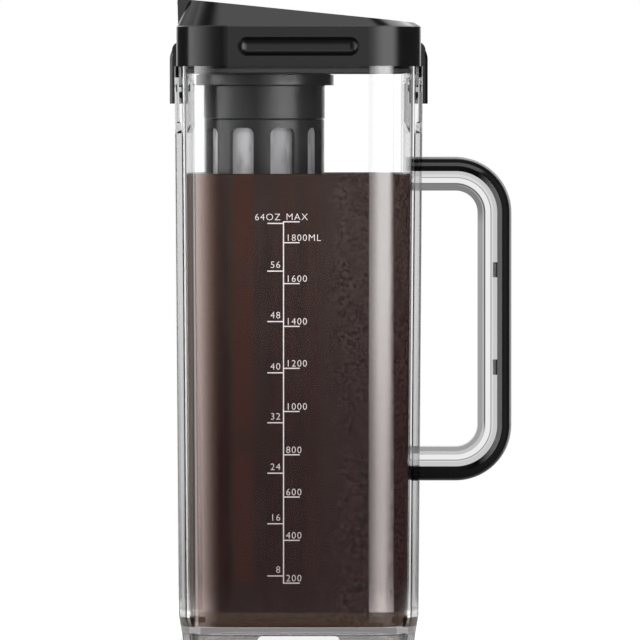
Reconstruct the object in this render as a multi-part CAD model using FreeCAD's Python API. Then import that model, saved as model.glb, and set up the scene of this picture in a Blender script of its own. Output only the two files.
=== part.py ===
import FreeCAD
import Part
import math
import os

# Cold brew coffee maker: a clear square pitcher with a C handle, a black lid that is held by two side
# latches and pours through a spout under a flap, and a coffee filter that hangs from the lid.
# Millimetres. +Z is up, +X points to the handle, -Y to the front. The origin is on the table, on the
# pitcher's axis.

# ---- driving dimensions: pitcher ---------------------------------------------------------------
BODY_HALF = 58.2        # half the outer width of the square body at its shoulder
CORNER_R = 25.4         # outer corner radius at the shoulder, seen from above
BODY_DRAFT = 0.42       # degrees that each outer wall leans in towards the floor
WALL = 5.0              # wall of the moulded body
SHOULDER_Z = 272.0      # ledge that the lid's band stands on
RIM_RISE = 3.0          # thinner rim that stands above the ledge
RIM_STEP = 2.8          # how far that rim is set in from the outer wall
HEEL_RISE = 14.6        # height at which the walls turn in to the foot
HEEL_IN = 2.4           # how far the foot stands in from there
FLOOR_Z = 9.9           # top of the floor, inside
FLOOR_T = 3.2           # thickness of the floor
FOOT_W = 4.2            # width of the foot rim that the pitcher stands on
NOTCH_W = 38.2          # drain notch in the front of the foot rim
NOTCH_H = 6.0
NOTCH_R = 2.0

# ---- driving dimensions: latch pockets in the side walls ---------------------------------------
POCKET_W = 40.0         # width of each pocket, along Y
POCKET_DEPTH = 4.1      # how far the wall is set in behind a latch
POCKET_DROP = 26.0      # from the shoulder to the foot of the pocket's flat floor
POCKET_RAMP = 7.2       # height of the slanted end below that floor
POCKET_WALL = 4.0       # wall behind a pocket
CATCH_BELOW = 11.8      # from the shoulder to the underside of the catch rib
CATCH_H = 4.4           # height of the catch rib
CATCH_OUT = 2.3         # how far the rib stands out of the pocket floor
CATCH_W = 26.0          # length of the rib, along Y

# ---- driving dimensions: handle ----------------------------------------------------------------
HANDLE_REACH = 42.1     # how far the handle stands out of the wall
HANDLE_TOP = 229.4      # top of the upper arm
HANDLE_BOTTOM = 76.7    # underside of the lower arm
HANDLE_R = 26.3         # outer bend radius
GRIP_T = 6.7            # thickness of the black grip strip
GRIP_W = 22.0           # width of the strip, along Y
GRIP_ROUND = 4.4        # rounding of the strip's outer edges
GRIP_BEVEL = 2.2        # bevel of its inner edges
CORE_T = 9.2            # thickness of the clear core inside the strip
CORE_W = 19.0           # width of the core
CORE_BEVEL = 3.6        # bevel of the core's inner edges
CORE_EDGE = 2.6         # bevel of its edges beside the strip
SOCKET_DEPTH = 3.4      # how deep the arms sit in the pitcher's wall
PEG_H = 7.0             # keying pegs of the strip: height, depth into the core, width
PEG_DEPTH = 2.3
PEG_W = 9.0
PEG_SPACING = 46.0      # distance between the two pegs, centred on the handle's upright

# ---- driving dimensions: lid -------------------------------------------------------------------
BAND_H = 18.9           # height of the lid's upright band
BAND_SET = 0.9          # how far the band is set in from the pitcher's outer wall
LID_FIT = 0.3           # running gap between the lid and the pitcher
PLUG_GAP = 0.8          # gap between the lid's plug and the pitcher's mouth
PLUG_WALL = 2.0         # wall of the plug
PLUG_DROP = 3.3         # how far the plug reaches below the shoulder
PLUG_SEAT = 3.1         # how far the plug's upper part stands out past its inside, into the band
DECK_Z = 286.0          # underside of the deck that closes the mouth
DECK_T = 2.5
BAND_BEVEL = 0.5        # bevel of the band's top edge
GASKET_H = 1.8          # height of the silicone gasket round the plug
GASKET_IN = 1.0         # how deep it sits in its groove
GASKET_UP = 0.3         # from the plug's lower edge to the gasket
PILL_LEN = 56.7         # finger grip in the band, front and back
PILL_H = 8.7
PILL_DEPTH = 3.2
PILL_UP = 9.2           # height of its centre line above the shoulder
BOSS_WALL = 2.6         # wall of the round boss that carries the filter holder
WINDOW_X = 12.0         # pour windows in the deck, beside the boss at the spout's end
WINDOW_Y = 14.0
WINDOW_SET = 1.2        # each window's centre, past the centre of the lid's corner
WINDOW_R = 3.0
WINDOW_RIM = 4.4        # deck left between a window and the plug wall

# ---- driving dimensions: sloped cover with its spout -------------------------------------------
COVER_INSET = 0.5       # step from the band to the foot of the cover
COVER_LOW = 1.2         # height of the cover over the band at the handle's end
COVER_SLOPE = 5.8       # degrees that its top falls towards the handle
COVER_LEAN = 25.0       # degrees that its front, back and spout sides lean in
COVER_LEAN_END = 60.0   # degrees that the end at the handle leans in
COVER_WALL = 2.4
COVER_ROOF = 5.6        # thickness of the roof, which holds the flap's recess
SPOUT_HALF_LOW = 14.0   # half width of the spout's upright nose at the band
SPOUT_FLARE = 22.0      # how much wider that half is at the top
SPOUT_SIDE = 45.0       # degrees at which the spout's sides run back into the cover
SPOUT_RUN = 11.8        # how far they run back, inside the cover's rounded corners at the top
MOUTH_LEN = 9.0         # pour mouth in the roof
MOUTH_W = 18.0
MOUTH_R = 3.4
MOUTH_EDGE = 3.9        # from the nose to the mouth

# ---- driving dimensions: flap ------------------------------------------------------------------
FLAP_HINGE_X = -8.0     # place of the hinge pin, along the slope
FLAP_W = 24.0
FLAP_T = 2.5
FLAP_SINK = 2.2         # depth of the flap's recess in the roof
FLAP_LIP = 0.3          # thumb lip past the nose
FLAP_GAP = 0.3          # running gap all round the flap
FLAP_SEAT = 0.1         # gap under the closed flap
FLAP_CORNER_R = 3.0
KNUCKLE_W = 16.0        # width of the flap's hinge barrel
BARREL_R = 2.2          # radius of that barrel
EAR_R = 2.0             # ears of the cover that carry the pin, beside the barrel
EAR_ROOT = 0.5          # how deep an ear's foot runs into the roof
RECESS_END = 1.5        # from the barrel to the end of the recess
FLAP_PIN_R = 0.9
FLAP_PIN_IN = 1.1       # how far the pin's ends sit in the roof
SEAL_T = 1.3            # silicone pad let into the flap's underside, over the mouth
SEAL_LAP = 1.6          # how far the pad reaches past the mouth all round
SEAL_GAP = 0.05         # gap between the pad and the recess floor

# ---- driving dimensions: latches ---------------------------------------------------------------
LATCH_W = 32.0
LATCH_T = 3.0
LATCH_OUT = 3.4         # how far a closed latch stands out of the band
LATCH_DROP = 17.5       # from the shoulder to the latch's lower edge
LATCH_PIN_SET = 1.7     # how far the pin's axis is set in from the band's face
LATCH_PIN_UP = 7.6      # height of the pin above the shoulder
LATCH_BARREL_R = 4.05
LATCH_CURVE = 4.2       # height over which the latch's back curves in to its barrel
LATCH_BULGE = 0.27      # share of that step that the curve has made half way up
LATCH_TOE = 1.0         # how far the lower edge reaches in past the plate
LATCH_GAP = 0.3         # running gap round the latch
LATCH_PIN_R = 1.0
LATCH_PIN_IN = 3.5      # how far the pin's ends sit in the lid
LATCH_BEVEL = 1.2       # bevel of the latch's upright edges
HOOK_GAP = 0.3          # gap between hook and catch rib
HOOK_CLEAR = 0.4        # gap between hook and pocket floor
HOOK_H = 1.7            # height of the hook's upright tip

# ---- driving dimensions: coffee filter ---------------------------------------------------------
FILTER_SET = 40.8       # from the lid's outside, at the spout, to the filter's axis
COLLAR_R = 33.0
COLLAR_Z = 263.2        # underside of the collar
COLLAR_T = 4.9
SLEEVE_R = 28.8
SLEEVE_BOTTOM = 247.3
SLEEVE_BORE = 24.9
NECK_R = 28.9           # neck of the holder, inside the lid's boss
NECK_UP = 13.5          # how far the neck reaches above the collar
HOLDER_FIT = 0.05       # gap between neck and boss
HOLDER_SEAL_T = 1.2
BAYONET_N = 3
LUG_R = 26.4
LUG_H = 3.0
LUG_ARC = 20.0          # degrees of each lug
LUG_Z = 256.0
LUG_GAP = 0.4           # gap round a lug in its slot
LUG_GAP_ARC = 2.0       # the same, in degrees
TWIST = 45.0            # degrees from locked to free

BASKET_R = 28.6
BASKET_WALL = 3.4
BASKET_TOP_GAP = 0.15   # seam between the basket and the sleeve
SEAM_BEVEL = 0.4        # bevels that make the seam a fine groove
BASKET_RING_T = 2.3     # shoulder between the basket's wall and its neck
BASKET_NECK_GAP = 0.3   # gap between the basket's neck and the sleeve's bore
BASKET_NECK_WALL = 1.6
BASKET_NECK_UP = 13.3
BASKET_BOTTOM = 19.5    # underside of the filter
CAP_T = 2.1
CAP_RIM = 2.5
CAP_SPIGOT = 5.0
CAP_WALL = 1.6
CAP_BEVEL = 1.0
MESH_T = 0.4
MESH_GAP = 0.05
WINDOWS_AROUND = 9
WINDOW_TIERS = 3
TIER_TOP = 243.1        # top of the uppermost windows
TIER_BOTTOM = 29.2      # foot of the lowest ones
RING_H = 12.0           # hoop between two tiers
RIB_ARC = 16.0          # degrees of each upright rib
FIRST_RIB = -91.4       # direction of one rib, in degrees from +X
PANE_R = 3.2            # round upper corners of a window
PANE_BEVEL = 1.6        # bevelled lower ones

# ---- driving dimensions: pins and cuts ---------------------------------------------------------
PIN_SEAT = 0.02         # clearance round the fixed ends of a pin
PIN_RUN = 0.05          # clearance between a pin and the barrel that turns on it
OVER = 1.0              # how far a cut or an overlap runs past a face
REACH = 400.0           # longer than the whole object, for cuts that go right through
SAME = 0.01             # two places closer than this are one

V = FreeCAD.Vector
Z_AXIS = V(0, 0, 1)
Y_AXIS = V(0, 1, 0)

# ---- levels and widths that follow -------------------------------------------------------------
DRAFT = math.tan(math.radians(BODY_DRAFT))
RIM_Z = SHOULDER_Z + RIM_RISE
RIM_HALF = BODY_HALF - RIM_STEP
FOOT_Z = FLOOR_Z - FLOOR_T
CORNER_C = BODY_HALF - CORNER_R
BAND_HALF = BODY_HALF - BAND_SET
PLUG_Z = SHOULDER_Z - PLUG_DROP
BAND_Z = SHOULDER_Z + BAND_H
DECK_TOP = DECK_Z + DECK_T
POCKET_X = BODY_HALF - POCKET_DEPTH
CATCH_Z = SHOULDER_Z - CATCH_BELOW
LATCH_PIN_X = BAND_HALF - LATCH_PIN_SET
LATCH_PIN_Z = SHOULDER_Z + LATCH_PIN_UP
LATCH_X = BAND_HALF + LATCH_OUT
HANDLE_OUT = BODY_HALF + HANDLE_REACH
FILTER_X = FILTER_SET - BAND_HALF
COLLAR_TOP = COLLAR_Z + COLLAR_T
BOSS_Z = COLLAR_TOP + HOLDER_SEAL_T
BASKET_TOP = SLEEVE_BOTTOM - BASKET_TOP_GAP


def outer_half(z):
    """Half width of the pitcher's outside at height z below the shoulder."""
    if z >= HEEL_RISE:
        return BODY_HALF - (SHOULDER_Z - z) * DRAFT
    return outer_half(HEEL_RISE) - HEEL_IN * (HEEL_RISE - z) / HEEL_RISE


def inner_half(z):
    """Half width of the pitcher's inside at height z."""
    return outer_half(z) - WALL


MOUTH_HALF = inner_half(SHOULDER_Z)
PLUG_HALF = MOUTH_HALF - PLUG_GAP
PLUG_IN = PLUG_HALF - PLUG_WALL


# ---- shapes that several pieces use ------------------------------------------------------------
def rounded(half_x, half_y, radius, z, x=0.0, y=0.0):
    """Closed wire: a rectangle with round corners, level at height z."""
    wire_points = []
    k = radius * (1 - math.sqrt(0.5))
    for sx, sy in ((1, -1), (1, 1), (-1, 1), (-1, -1)):
        cx, cy = x + sx * half_x, y + sy * half_y
        along = V(cx - sx * radius, cy, z)
        across = V(cx, cy - sy * radius, z)
        middle = V(cx - sx * k, cy - sy * k, z)
        corner = (along, middle, across) if sx * sy < 0 else (across, middle, along)
        wire_points.append(corner)
    edges = []
    for i, (start, middle, end) in enumerate(wire_points):
        edges.append(Part.Arc(start, middle, end).toShape())
        following = wire_points[(i + 1) % 4][0]
        if end.distanceToPoint(following) > SAME:
            edges.append(Part.makeLine(end, following))
    return Part.Wire(edges)


def square(half, z):
    """Rounded square whose corners keep the centres of the pitcher's corners."""
    return rounded(half, half, half - CORNER_C, z)


def loft(*wires):
    return Part.makeLoft(list(wires), True, True)


def prism(outline, height):
    """Upright prism on a level closed wire."""
    return Part.Face(outline).extrude(V(0, 0, height))


def rectangle(half_x, half_y, z):
    corners = [V(half_x * sx, half_y * sy, z) for sx, sy in ((1, -1), (1, 1), (-1, 1), (-1, -1))]
    return Part.makePolygon(corners + corners[:1])


def block(half0, z0, half1, z1, radius):
    """Square block whose half width changes from z0 to z1, with one corner radius all the way."""
    c0, c1 = half0 - radius, half1 - radius
    pieces = [
        loft(rectangle(half0, c0, z0), rectangle(half1, c1, z1)),
        loft(rectangle(c0, half0, z0), rectangle(c1, half1, z1)),
    ]
    for sx, sy in ((1, -1), (1, 1), (-1, 1), (-1, -1)):
        disc = Part.Face(Part.Wire(Part.makeCircle(radius, V(sx * c0, sy * c0, z0))))
        pieces.append(disc.extrude(V(sx * (c1 - c0), sy * (c1 - c0), z1 - z0)))
    return fuse(*pieces)


def slab(half, z0, z1):
    """Upright rounded square prism."""
    return prism(square(half, z0), z1 - z0)


def square_ring(half_out, half_in, z0, z1):
    return slab(half_out, z0, z1).cut(slab(half_in, z0 - OVER, z1 + OVER))


def box(x0, x1, y0, y1, z0, z1):
    return Part.makeBox(x1 - x0, y1 - y0, z1 - z0, V(x0, y0, z0))


def side_prism(points, width):
    """Prism across the front: a closed outline of (x, z) points, width along Y, centred."""
    corners = [V(x, -width / 2, z) for x, z in points]
    face = Part.Face(Part.makePolygon(corners + corners[:1]))
    return face.extrude(V(0, width, 0))


def mirrored(shape, side):
    """The shape itself at +X, or its mirror image at -X."""
    return shape if side > 0 else shape.mirror(V(0, 0, 0), V(1, 0, 0))


def tube(r_out, r_in, z0, z1, x=FILTER_X):
    outside = Part.makeCylinder(r_out, z1 - z0, V(x, 0, z0))
    return outside.cut(Part.makeCylinder(r_in, z1 - z0 + 2 * OVER, V(x, 0, z0 - OVER)))


def turned(points):
    """Solid of revolution round the filter's axis, from (radius, z) points."""
    outline = [V(FILTER_X + r, 0, z) for r, z in points]
    face = Part.Face(Part.makePolygon(outline + outline[:1]))
    return face.revolve(V(FILTER_X, 0, 0), Z_AXIS, 360)


def sector(r_out, r_in, z0, z1, start, arc):
    """Part of a ring round the filter's axis, from a start angle over an arc, in degrees."""
    wedge = Part.makeCylinder(r_out, z1 - z0, V(0, 0, z0), Z_AXIS, arc)
    wedge = wedge.cut(Part.makeCylinder(r_in, z1 - z0 + 2 * OVER, V(0, 0, z0 - OVER)))
    wedge.rotate(V(0, 0, 0), Z_AXIS, start)
    wedge.translate(V(FILTER_X, 0, 0))
    return wedge


def fuse(first, *others):
    return first.multiFuse(list(others)).removeSplitter()


# ---- handle ------------------------------------------------------------------------------------
def rounded_section(inset, thickness, width, radius, bevel):
    """Section of a strip of the upper arm, in the plane x = 0: round outer corners, bevelled inner."""
    top, half = HANDLE_TOP - inset, width / 2
    bottom = top - thickness
    k = radius * (1 - math.sqrt(0.5))
    return Part.Wire([
        Part.Arc(V(0, -half, top - radius), V(0, k - half, top - k), V(0, radius - half, top)).toShape(),
        Part.makeLine(V(0, radius - half, top), V(0, half - radius, top)),
        Part.Arc(V(0, half - radius, top), V(0, half - k, top - k), V(0, half, top - radius)).toShape(),
        Part.makePolygon([
            V(0, half, top - radius), V(0, half, bottom + bevel), V(0, half - bevel, bottom),
            V(0, bevel - half, bottom), V(0, -half, bottom + bevel), V(0, -half, top - radius)]),
    ])


def bevelled_section(inset, thickness, width, bevel_out, bevel_in):
    """The same with four bevelled corners."""
    top, half = HANDLE_TOP - inset, width / 2
    bottom = top - thickness
    corners = [
        V(0, bevel_out - half, top), V(0, half - bevel_out, top), V(0, half, top - bevel_out),
        V(0, half, bottom + bevel_in), V(0, half - bevel_in, bottom), V(0, bevel_in - half, bottom),
        V(0, -half, bottom + bevel_in), V(0, -half, top - bevel_out)]
    return Part.makePolygon(corners + corners[:1])


def strip(outline):
    """One layer of the C handle: two arms, an upright and two bends, from wall to wall."""
    section = Part.Face(outline)
    bend_x, top, bottom = HANDLE_OUT - HANDLE_R, HANDLE_TOP - HANDLE_R, HANDLE_BOTTOM + HANDLE_R
    root = outer_half(HANDLE_BOTTOM) - SOCKET_DEPTH
    section.translate(V(root, 0, 0))
    arm = section.extrude(V(bend_x - root, 0, 0))
    section.translate(V(bend_x - root, 0, 0))
    bend = section.revolve(V(bend_x, 0, top), Y_AXIS, 90)
    section.rotate(V(bend_x, 0, top), Y_AXIS, 90)
    upright = section.extrude(V(0, 0, bottom - top))
    middle = V(0, 0, (HANDLE_TOP + HANDLE_BOTTOM) / 2)
    return fuse(arm, bend, upright, arm.mirror(middle, Z_AXIS), bend.mirror(middle, Z_AXIS))


def make_pegs():
    """Two keys on the inside of the grip strip's upright."""
    middle = (HANDLE_TOP + HANDLE_BOTTOM) / 2
    face = HANDLE_OUT - GRIP_T
    pegs = []
    for z in (middle + PEG_SPACING / 2, middle - PEG_SPACING / 2):
        pegs.append(box(face - PEG_DEPTH, face + GRIP_T / 2, -PEG_W / 2, PEG_W / 2,
                        z - PEG_H / 2, z + PEG_H / 2))
    return pegs


def make_handle_grip():
    return fuse(strip(rounded_section(0, GRIP_T, GRIP_W, GRIP_ROUND, GRIP_BEVEL)), *make_pegs())


def make_handle_core(grip):
    return strip(bevelled_section(GRIP_T, CORE_T, CORE_W, CORE_EDGE, CORE_BEVEL)).cut(grip)


# ---- pitcher -----------------------------------------------------------------------------------
def pocket_outline(x_floor, x_face, z_top):
    """Outline of a latch pocket: upright floor, slanted lower end."""
    z_low = SHOULDER_Z - POCKET_DROP
    return [(x_floor, z_top), (x_floor, z_low), (x_face, z_low - POCKET_RAMP), (x_face, z_top)]


def make_pitcher_body(handle_parts):
    heel = outer_half(HEEL_RISE)
    body = fuse(block(outer_half(0), 0, heel, HEEL_RISE, CORNER_R),
                block(heel, HEEL_RISE, BODY_HALF, SHOULDER_Z, CORNER_R),
                slab(RIM_HALF, SHOULDER_Z - OVER, RIM_Z))
    inner_r = CORNER_R - WALL
    inside = fuse(block(inner_half(FLOOR_Z), FLOOR_Z, heel - WALL, HEEL_RISE, inner_r),
                  block(heel - WALL, HEEL_RISE, MOUTH_HALF, SHOULDER_Z, inner_r),
                  slab(MOUTH_HALF, SHOULDER_Z, RIM_Z))
    swell_top = PLUG_Z - PLUG_GAP
    swell_x = POCKET_X - POCKET_WALL
    for side in (-1, 1):
        swell = side_prism([
            (swell_x, swell_top - POCKET_DEPTH),
            (swell_x, SHOULDER_Z - POCKET_DROP),
            (BODY_HALF, SHOULDER_Z - POCKET_DROP - (BODY_HALF - swell_x) * POCKET_RAMP / POCKET_DEPTH),
            (BODY_HALF, swell_top - POCKET_DEPTH + BODY_HALF - swell_x),
        ], POCKET_W + WALL)
        inside = inside.cut(mirrored(swell, side))
    body = body.cut(inside)
    for side in (-1, 1):
        pocket = side_prism(pocket_outline(POCKET_X, BODY_HALF + OVER, SHOULDER_Z), POCKET_W)
        catch = side_prism([
            (POCKET_X - OVER, CATCH_Z),
            (POCKET_X + CATCH_OUT, CATCH_Z),
            (POCKET_X + CATCH_OUT, CATCH_Z + CATCH_H / 2),
            (POCKET_X, CATCH_Z + CATCH_H),
            (POCKET_X - OVER, CATCH_Z + CATCH_H),
        ], CATCH_W)
        body = body.cut(mirrored(pocket, side))
        body = fuse(body, mirrored(catch, side))
    foot_half = outer_half(0) - FOOT_W
    body = body.cut(slab(foot_half, -OVER, FOOT_Z))
    notch = prism(rounded(NOTCH_W / 2, NOTCH_H, NOTCH_R, 0), REACH)
    notch.rotate(V(0, 0, 0), V(1, 0, 0), 90)
    body = body.cut(notch.common(slab(BODY_HALF, -NOTCH_H, NOTCH_H)))
    for piece in handle_parts:
        body = body.cut(piece)
    return body


# ---- lid ---------------------------------------------------------------------------------------
def pill_cutter(face_side):
    """Capsule whose round side scoops a finger grip out of the band's front or back."""
    half = PILL_H / 2
    radius = (half ** 2 + PILL_DEPTH ** 2) / (2 * PILL_DEPTH)
    y = face_side * (BAND_HALF + radius - PILL_DEPTH)
    run = PILL_LEN / 2 - half
    bar = Part.makeCylinder(radius, 2 * run, V(-run, y, SHOULDER_Z + PILL_UP), V(1, 0, 0))
    ends = [Part.makeSphere(radius, V(x, y, SHOULDER_Z + PILL_UP)) for x in (-run, run)]
    return fuse(bar, *ends)


def make_latch_slot():
    """Room in the lid for the right latch: round its barrel, and down past the band."""
    width = LATCH_W + 2 * LATCH_GAP
    radius = LATCH_BARREL_R + LATCH_GAP
    barrel = Part.makeCylinder(radius, width, V(LATCH_PIN_X, -width / 2, LATCH_PIN_Z), Y_AXIS)
    swing = LATCH_X - LATCH_PIN_X + LATCH_GAP
    face = BAND_HALF + OVER
    front = box(LATCH_PIN_X, face, -width / 2, width / 2, LATCH_PIN_Z, LATCH_PIN_Z + swing)
    lower = box(RIM_HALF - LATCH_GAP, face, -width / 2, width / 2, SHOULDER_Z - OVER, LATCH_PIN_Z)
    return fuse(barrel, front, lower)


def latch_pin(clearance):
    half = LATCH_W / 2 + LATCH_GAP + LATCH_PIN_IN + clearance
    start = V(LATCH_PIN_X, -half, LATCH_PIN_Z)
    return Part.makeCylinder(LATCH_PIN_R + clearance, 2 * half, start, Y_AXIS)


def deck_window(y_side):
    """Pour window at the spout's end of the deck, between the boss and the plug's corner."""
    x = -PLUG_IN + WINDOW_RIM + WINDOW_X / 2
    y = y_side * (CORNER_C + WINDOW_SET)
    return prism(rounded(WINDOW_X / 2, WINDOW_Y / 2, WINDOW_R, DECK_Z - OVER, x, y), DECK_T + 2 * OVER)


def make_lid_band():
    """Outer ring of the lid, with the finger grips and the latch slots."""
    band = slab(BAND_HALF, SHOULDER_Z, BAND_Z)
    top_edges = [e for e in band.Edges if min(v.Z for v in e.Vertexes) > BAND_Z - SAME]
    band = band.makeChamfer(BAND_BEVEL, top_edges)
    band = band.cut(slab(RIM_HALF + LID_FIT, SHOULDER_Z - OVER, RIM_Z + LID_FIT))
    band = band.cut(slab(PLUG_IN + PLUG_SEAT, SHOULDER_Z - OVER, DECK_TOP))
    band = band.cut(slab(PLUG_IN, SHOULDER_Z - OVER, BAND_Z + OVER))
    for side in (-1, 1):
        band = band.cut(pill_cutter(side))
        band = band.cut(mirrored(make_latch_slot(), side))
        band = band.cut(mirrored(latch_pin(PIN_SEAT), side))
    return band


def make_lid_plug():
    """Inner half of the lid: the plug in the mouth, the deck over it, and the filter's boss."""
    plug = fuse(slab(PLUG_HALF, PLUG_Z, RIM_Z + LID_FIT),
                slab(PLUG_IN + PLUG_SEAT, RIM_Z + LID_FIT, DECK_TOP))
    plug = plug.cut(slab(PLUG_IN, PLUG_Z - OVER, DECK_Z))
    gasket_z = PLUG_Z + GASKET_UP
    plug = plug.cut(square_ring(PLUG_HALF + OVER, PLUG_HALF - GASKET_IN, gasket_z, gasket_z + GASKET_H))
    boss = tube(NECK_R + HOLDER_FIT + BOSS_WALL, NECK_R + HOLDER_FIT, BOSS_Z, DECK_Z + OVER)
    plug = fuse(plug, boss)
    for side in (-1, 1):
        plug = plug.cut(deck_window(side))
        plug = plug.cut(mirrored(make_latch_slot(), side))
    return plug


def make_lid_gasket():
    gasket_z = PLUG_Z + GASKET_UP
    return square_ring(MOUTH_HALF - LID_FIT, PLUG_HALF - GASKET_IN, gasket_z, gasket_z + GASKET_H)


# ---- sloped cover, flap and seal, set out on the slope: u along it, w square to it --------------
COVER_HALF = BAND_HALF - COVER_INSET
SLOPE_Z0 = BAND_Z + COVER_LOW + COVER_HALF * math.tan(math.radians(COVER_SLOPE))
ON_SLOPE = FreeCAD.Placement(V(0, 0, SLOPE_Z0), FreeCAD.Rotation(Y_AXIS, COVER_SLOPE))
NOSE_U = -COVER_HALF / math.cos(math.radians(COVER_SLOPE))
FLAP_TOP_W = FLAP_T - FLAP_SINK + FLAP_SEAT
PIN_W = FLAP_TOP_W - BARREL_R


def on_slope(shape):
    shape.Placement = ON_SLOPE.multiply(shape.Placement)
    return shape


def above_slope(w):
    """Everything above a plane that lies w over the cover's sloping top."""
    return on_slope(box(-REACH, REACH, -REACH, REACH, w, w + REACH))


def cover_block(inset, rise):
    """The cover before its top is cut off, an inset inside its outside."""
    lean = math.tan(math.radians(COVER_LEAN)) * rise
    lean_end = math.tan(math.radians(COVER_LEAN_END)) * rise
    half = COVER_HALF - inset
    top_x0, top_x1 = -(half - lean), half - lean_end
    low = square(half, BAND_Z)
    high = rounded((top_x1 - top_x0) / 2, half - lean, half - lean - CORNER_C, BAND_Z + rise,
                   (top_x0 + top_x1) / 2)
    return loft(low, high)


def spout_block(inset, rise):
    """Spout with an upright nose, whose sides run back into the cover."""
    nose = COVER_HALF - inset
    back = nose - SPOUT_RUN
    run = SPOUT_RUN * math.tan(math.radians(SPOUT_SIDE))
    wires = []
    for z, flare in ((BAND_Z, 0.0), (BAND_Z + rise, SPOUT_FLARE)):
        half = SPOUT_HALF_LOW + flare - inset / 2
        corners = [V(-nose, -half, z), V(-nose, half, z), V(-back, half + run, z),
                   V(-back, -half - run, z)]
        wires.append(Part.makePolygon(corners + corners[:1]))
    return loft(*wires)


def across(radius, half_width, u, w):
    """Cylinder along Y, centred, at a place on the slope."""
    return Part.makeCylinder(radius, 2 * half_width, V(u, -half_width, w), Y_AXIS)


def make_lid_cover():
    rise = COVER_LOW + 2 * COVER_HALF * math.tan(math.radians(COVER_SLOPE)) + 2 * OVER
    cover = fuse(cover_block(0, rise), spout_block(0, rise)).cut(above_slope(0))
    hollow = fuse(cover_block(COVER_WALL, rise), spout_block(COVER_WALL, rise))
    cover = cover.cut(hollow.cut(above_slope(-COVER_ROOF)))
    half = FLAP_W / 2 + FLAP_GAP
    wall_u = FLAP_HINGE_X + BARREL_R + RECESS_END
    recess = box(NOSE_U - OVER, wall_u, -half, half, -FLAP_SINK, REACH)
    trough = across(BARREL_R + FLAP_GAP, half, FLAP_HINGE_X, PIN_W)
    cover = cover.cut(on_slope(fuse(recess, trough)))
    mouth_u = NOSE_U + MOUTH_EDGE + MOUTH_LEN / 2
    mouth = prism(rounded(MOUTH_LEN / 2, MOUTH_W / 2, MOUTH_R, -COVER_ROOF - OVER, mouth_u),
                  COVER_ROOF + OVER)
    cover = cover.cut(on_slope(mouth))
    for side in (-1, 1):
        v0, v1 = sorted((side * (KNUCKLE_W / 2 + FLAP_GAP), side * half))
        round_top = Part.makeCylinder(EAR_R, v1 - v0, V(FLAP_HINGE_X, v0, PIN_W), Y_AXIS)
        foot = box(FLAP_HINGE_X - EAR_R, FLAP_HINGE_X + EAR_R, v0, v1,
                   PIN_W - BARREL_R - FLAP_GAP - EAR_ROOT, PIN_W)
        cover = fuse(cover, on_slope(fuse(round_top, foot)))
    return cover.cut(make_flap_pin(PIN_SEAT))


def make_flap_pin(clearance=0.0):
    half = FLAP_W / 2 + FLAP_GAP + FLAP_PIN_IN + clearance
    return on_slope(across(FLAP_PIN_R + clearance, half, FLAP_HINGE_X, PIN_W))


def make_flap_seal():
    mouth_u = NOSE_U + MOUTH_EDGE + MOUTH_LEN / 2
    pad = prism(rounded(MOUTH_LEN / 2 + SEAL_LAP, MOUTH_W / 2 + SEAL_LAP, MOUTH_R + SEAL_LAP,
                        SEAL_GAP - FLAP_SINK, mouth_u), SEAL_T)
    return on_slope(pad)


def make_pour_flap(seal):
    u0 = NOSE_U - FLAP_LIP
    u1 = FLAP_HINGE_X - BARREL_R - 2 * FLAP_GAP
    plate = prism(rounded((u1 - u0) / 2, FLAP_W / 2, FLAP_CORNER_R, FLAP_TOP_W - FLAP_T, (u0 + u1) / 2),
                  FLAP_T)
    half = KNUCKLE_W / 2
    barrel = across(BARREL_R, half, FLAP_HINGE_X, PIN_W)
    neck = box(u1 - FLAP_CORNER_R, FLAP_HINGE_X, -half, half, FLAP_TOP_W - FLAP_T, FLAP_TOP_W)
    bore = across(FLAP_PIN_R + PIN_RUN, FLAP_W, FLAP_HINGE_X, PIN_W)
    return on_slope(fuse(plate, barrel, neck).cut(bore)).cut(seal)


# ---- latches -----------------------------------------------------------------------------------
def make_latch():
    """Right latch, closed: barrel on its pin, plate in front of the pocket, hook under the catch."""
    x_in, z_low = LATCH_X - LATCH_T, SHOULDER_Z - LATCH_DROP
    hook_x, hook_z = POCKET_X + HOOK_CLEAR, CATCH_Z - HOOK_GAP
    curve_z = LATCH_PIN_Z - LATCH_CURVE
    barrel_x = LATCH_PIN_X + LATCH_BARREL_R
    start = -LATCH_W / 2
    corners = [V(x, start, z) for x, z in (
        (barrel_x, LATCH_PIN_Z), (LATCH_PIN_X, LATCH_PIN_Z), (x_in, curve_z - LATCH_T / 2),
        (x_in, hook_z), (hook_x, hook_z), (hook_x, hook_z - HOOK_H), (x_in - LATCH_TOE, z_low),
        (LATCH_X, z_low), (LATCH_X, curve_z))]
    bulge = V(LATCH_X - (LATCH_X - barrel_x) * LATCH_BULGE, start, (curve_z + LATCH_PIN_Z) / 2)
    outline = Part.Wire([Part.makePolygon(corners), Part.Arc(corners[-1], bulge, corners[0]).toShape()])
    plate = Part.Face(outline).extrude(V(0, LATCH_W, 0))
    upright = [e for e in plate.Edges if len(e.Vertexes) == 2
               and all(abs(v.X - LATCH_X) < SAME for v in e.Vertexes)
               and abs(e.Vertexes[0].Y - e.Vertexes[1].Y) < SAME]
    plate = plate.makeChamfer(LATCH_BEVEL, upright)
    barrel = Part.makeCylinder(LATCH_BARREL_R, LATCH_W, V(LATCH_PIN_X, start, LATCH_PIN_Z), Y_AXIS)
    bore = Part.makeCylinder(LATCH_PIN_R + PIN_RUN, LATCH_W + 2 * OVER,
                             V(LATCH_PIN_X, start - OVER, LATCH_PIN_Z), Y_AXIS)
    return fuse(plate, barrel).cut(bore)


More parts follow.
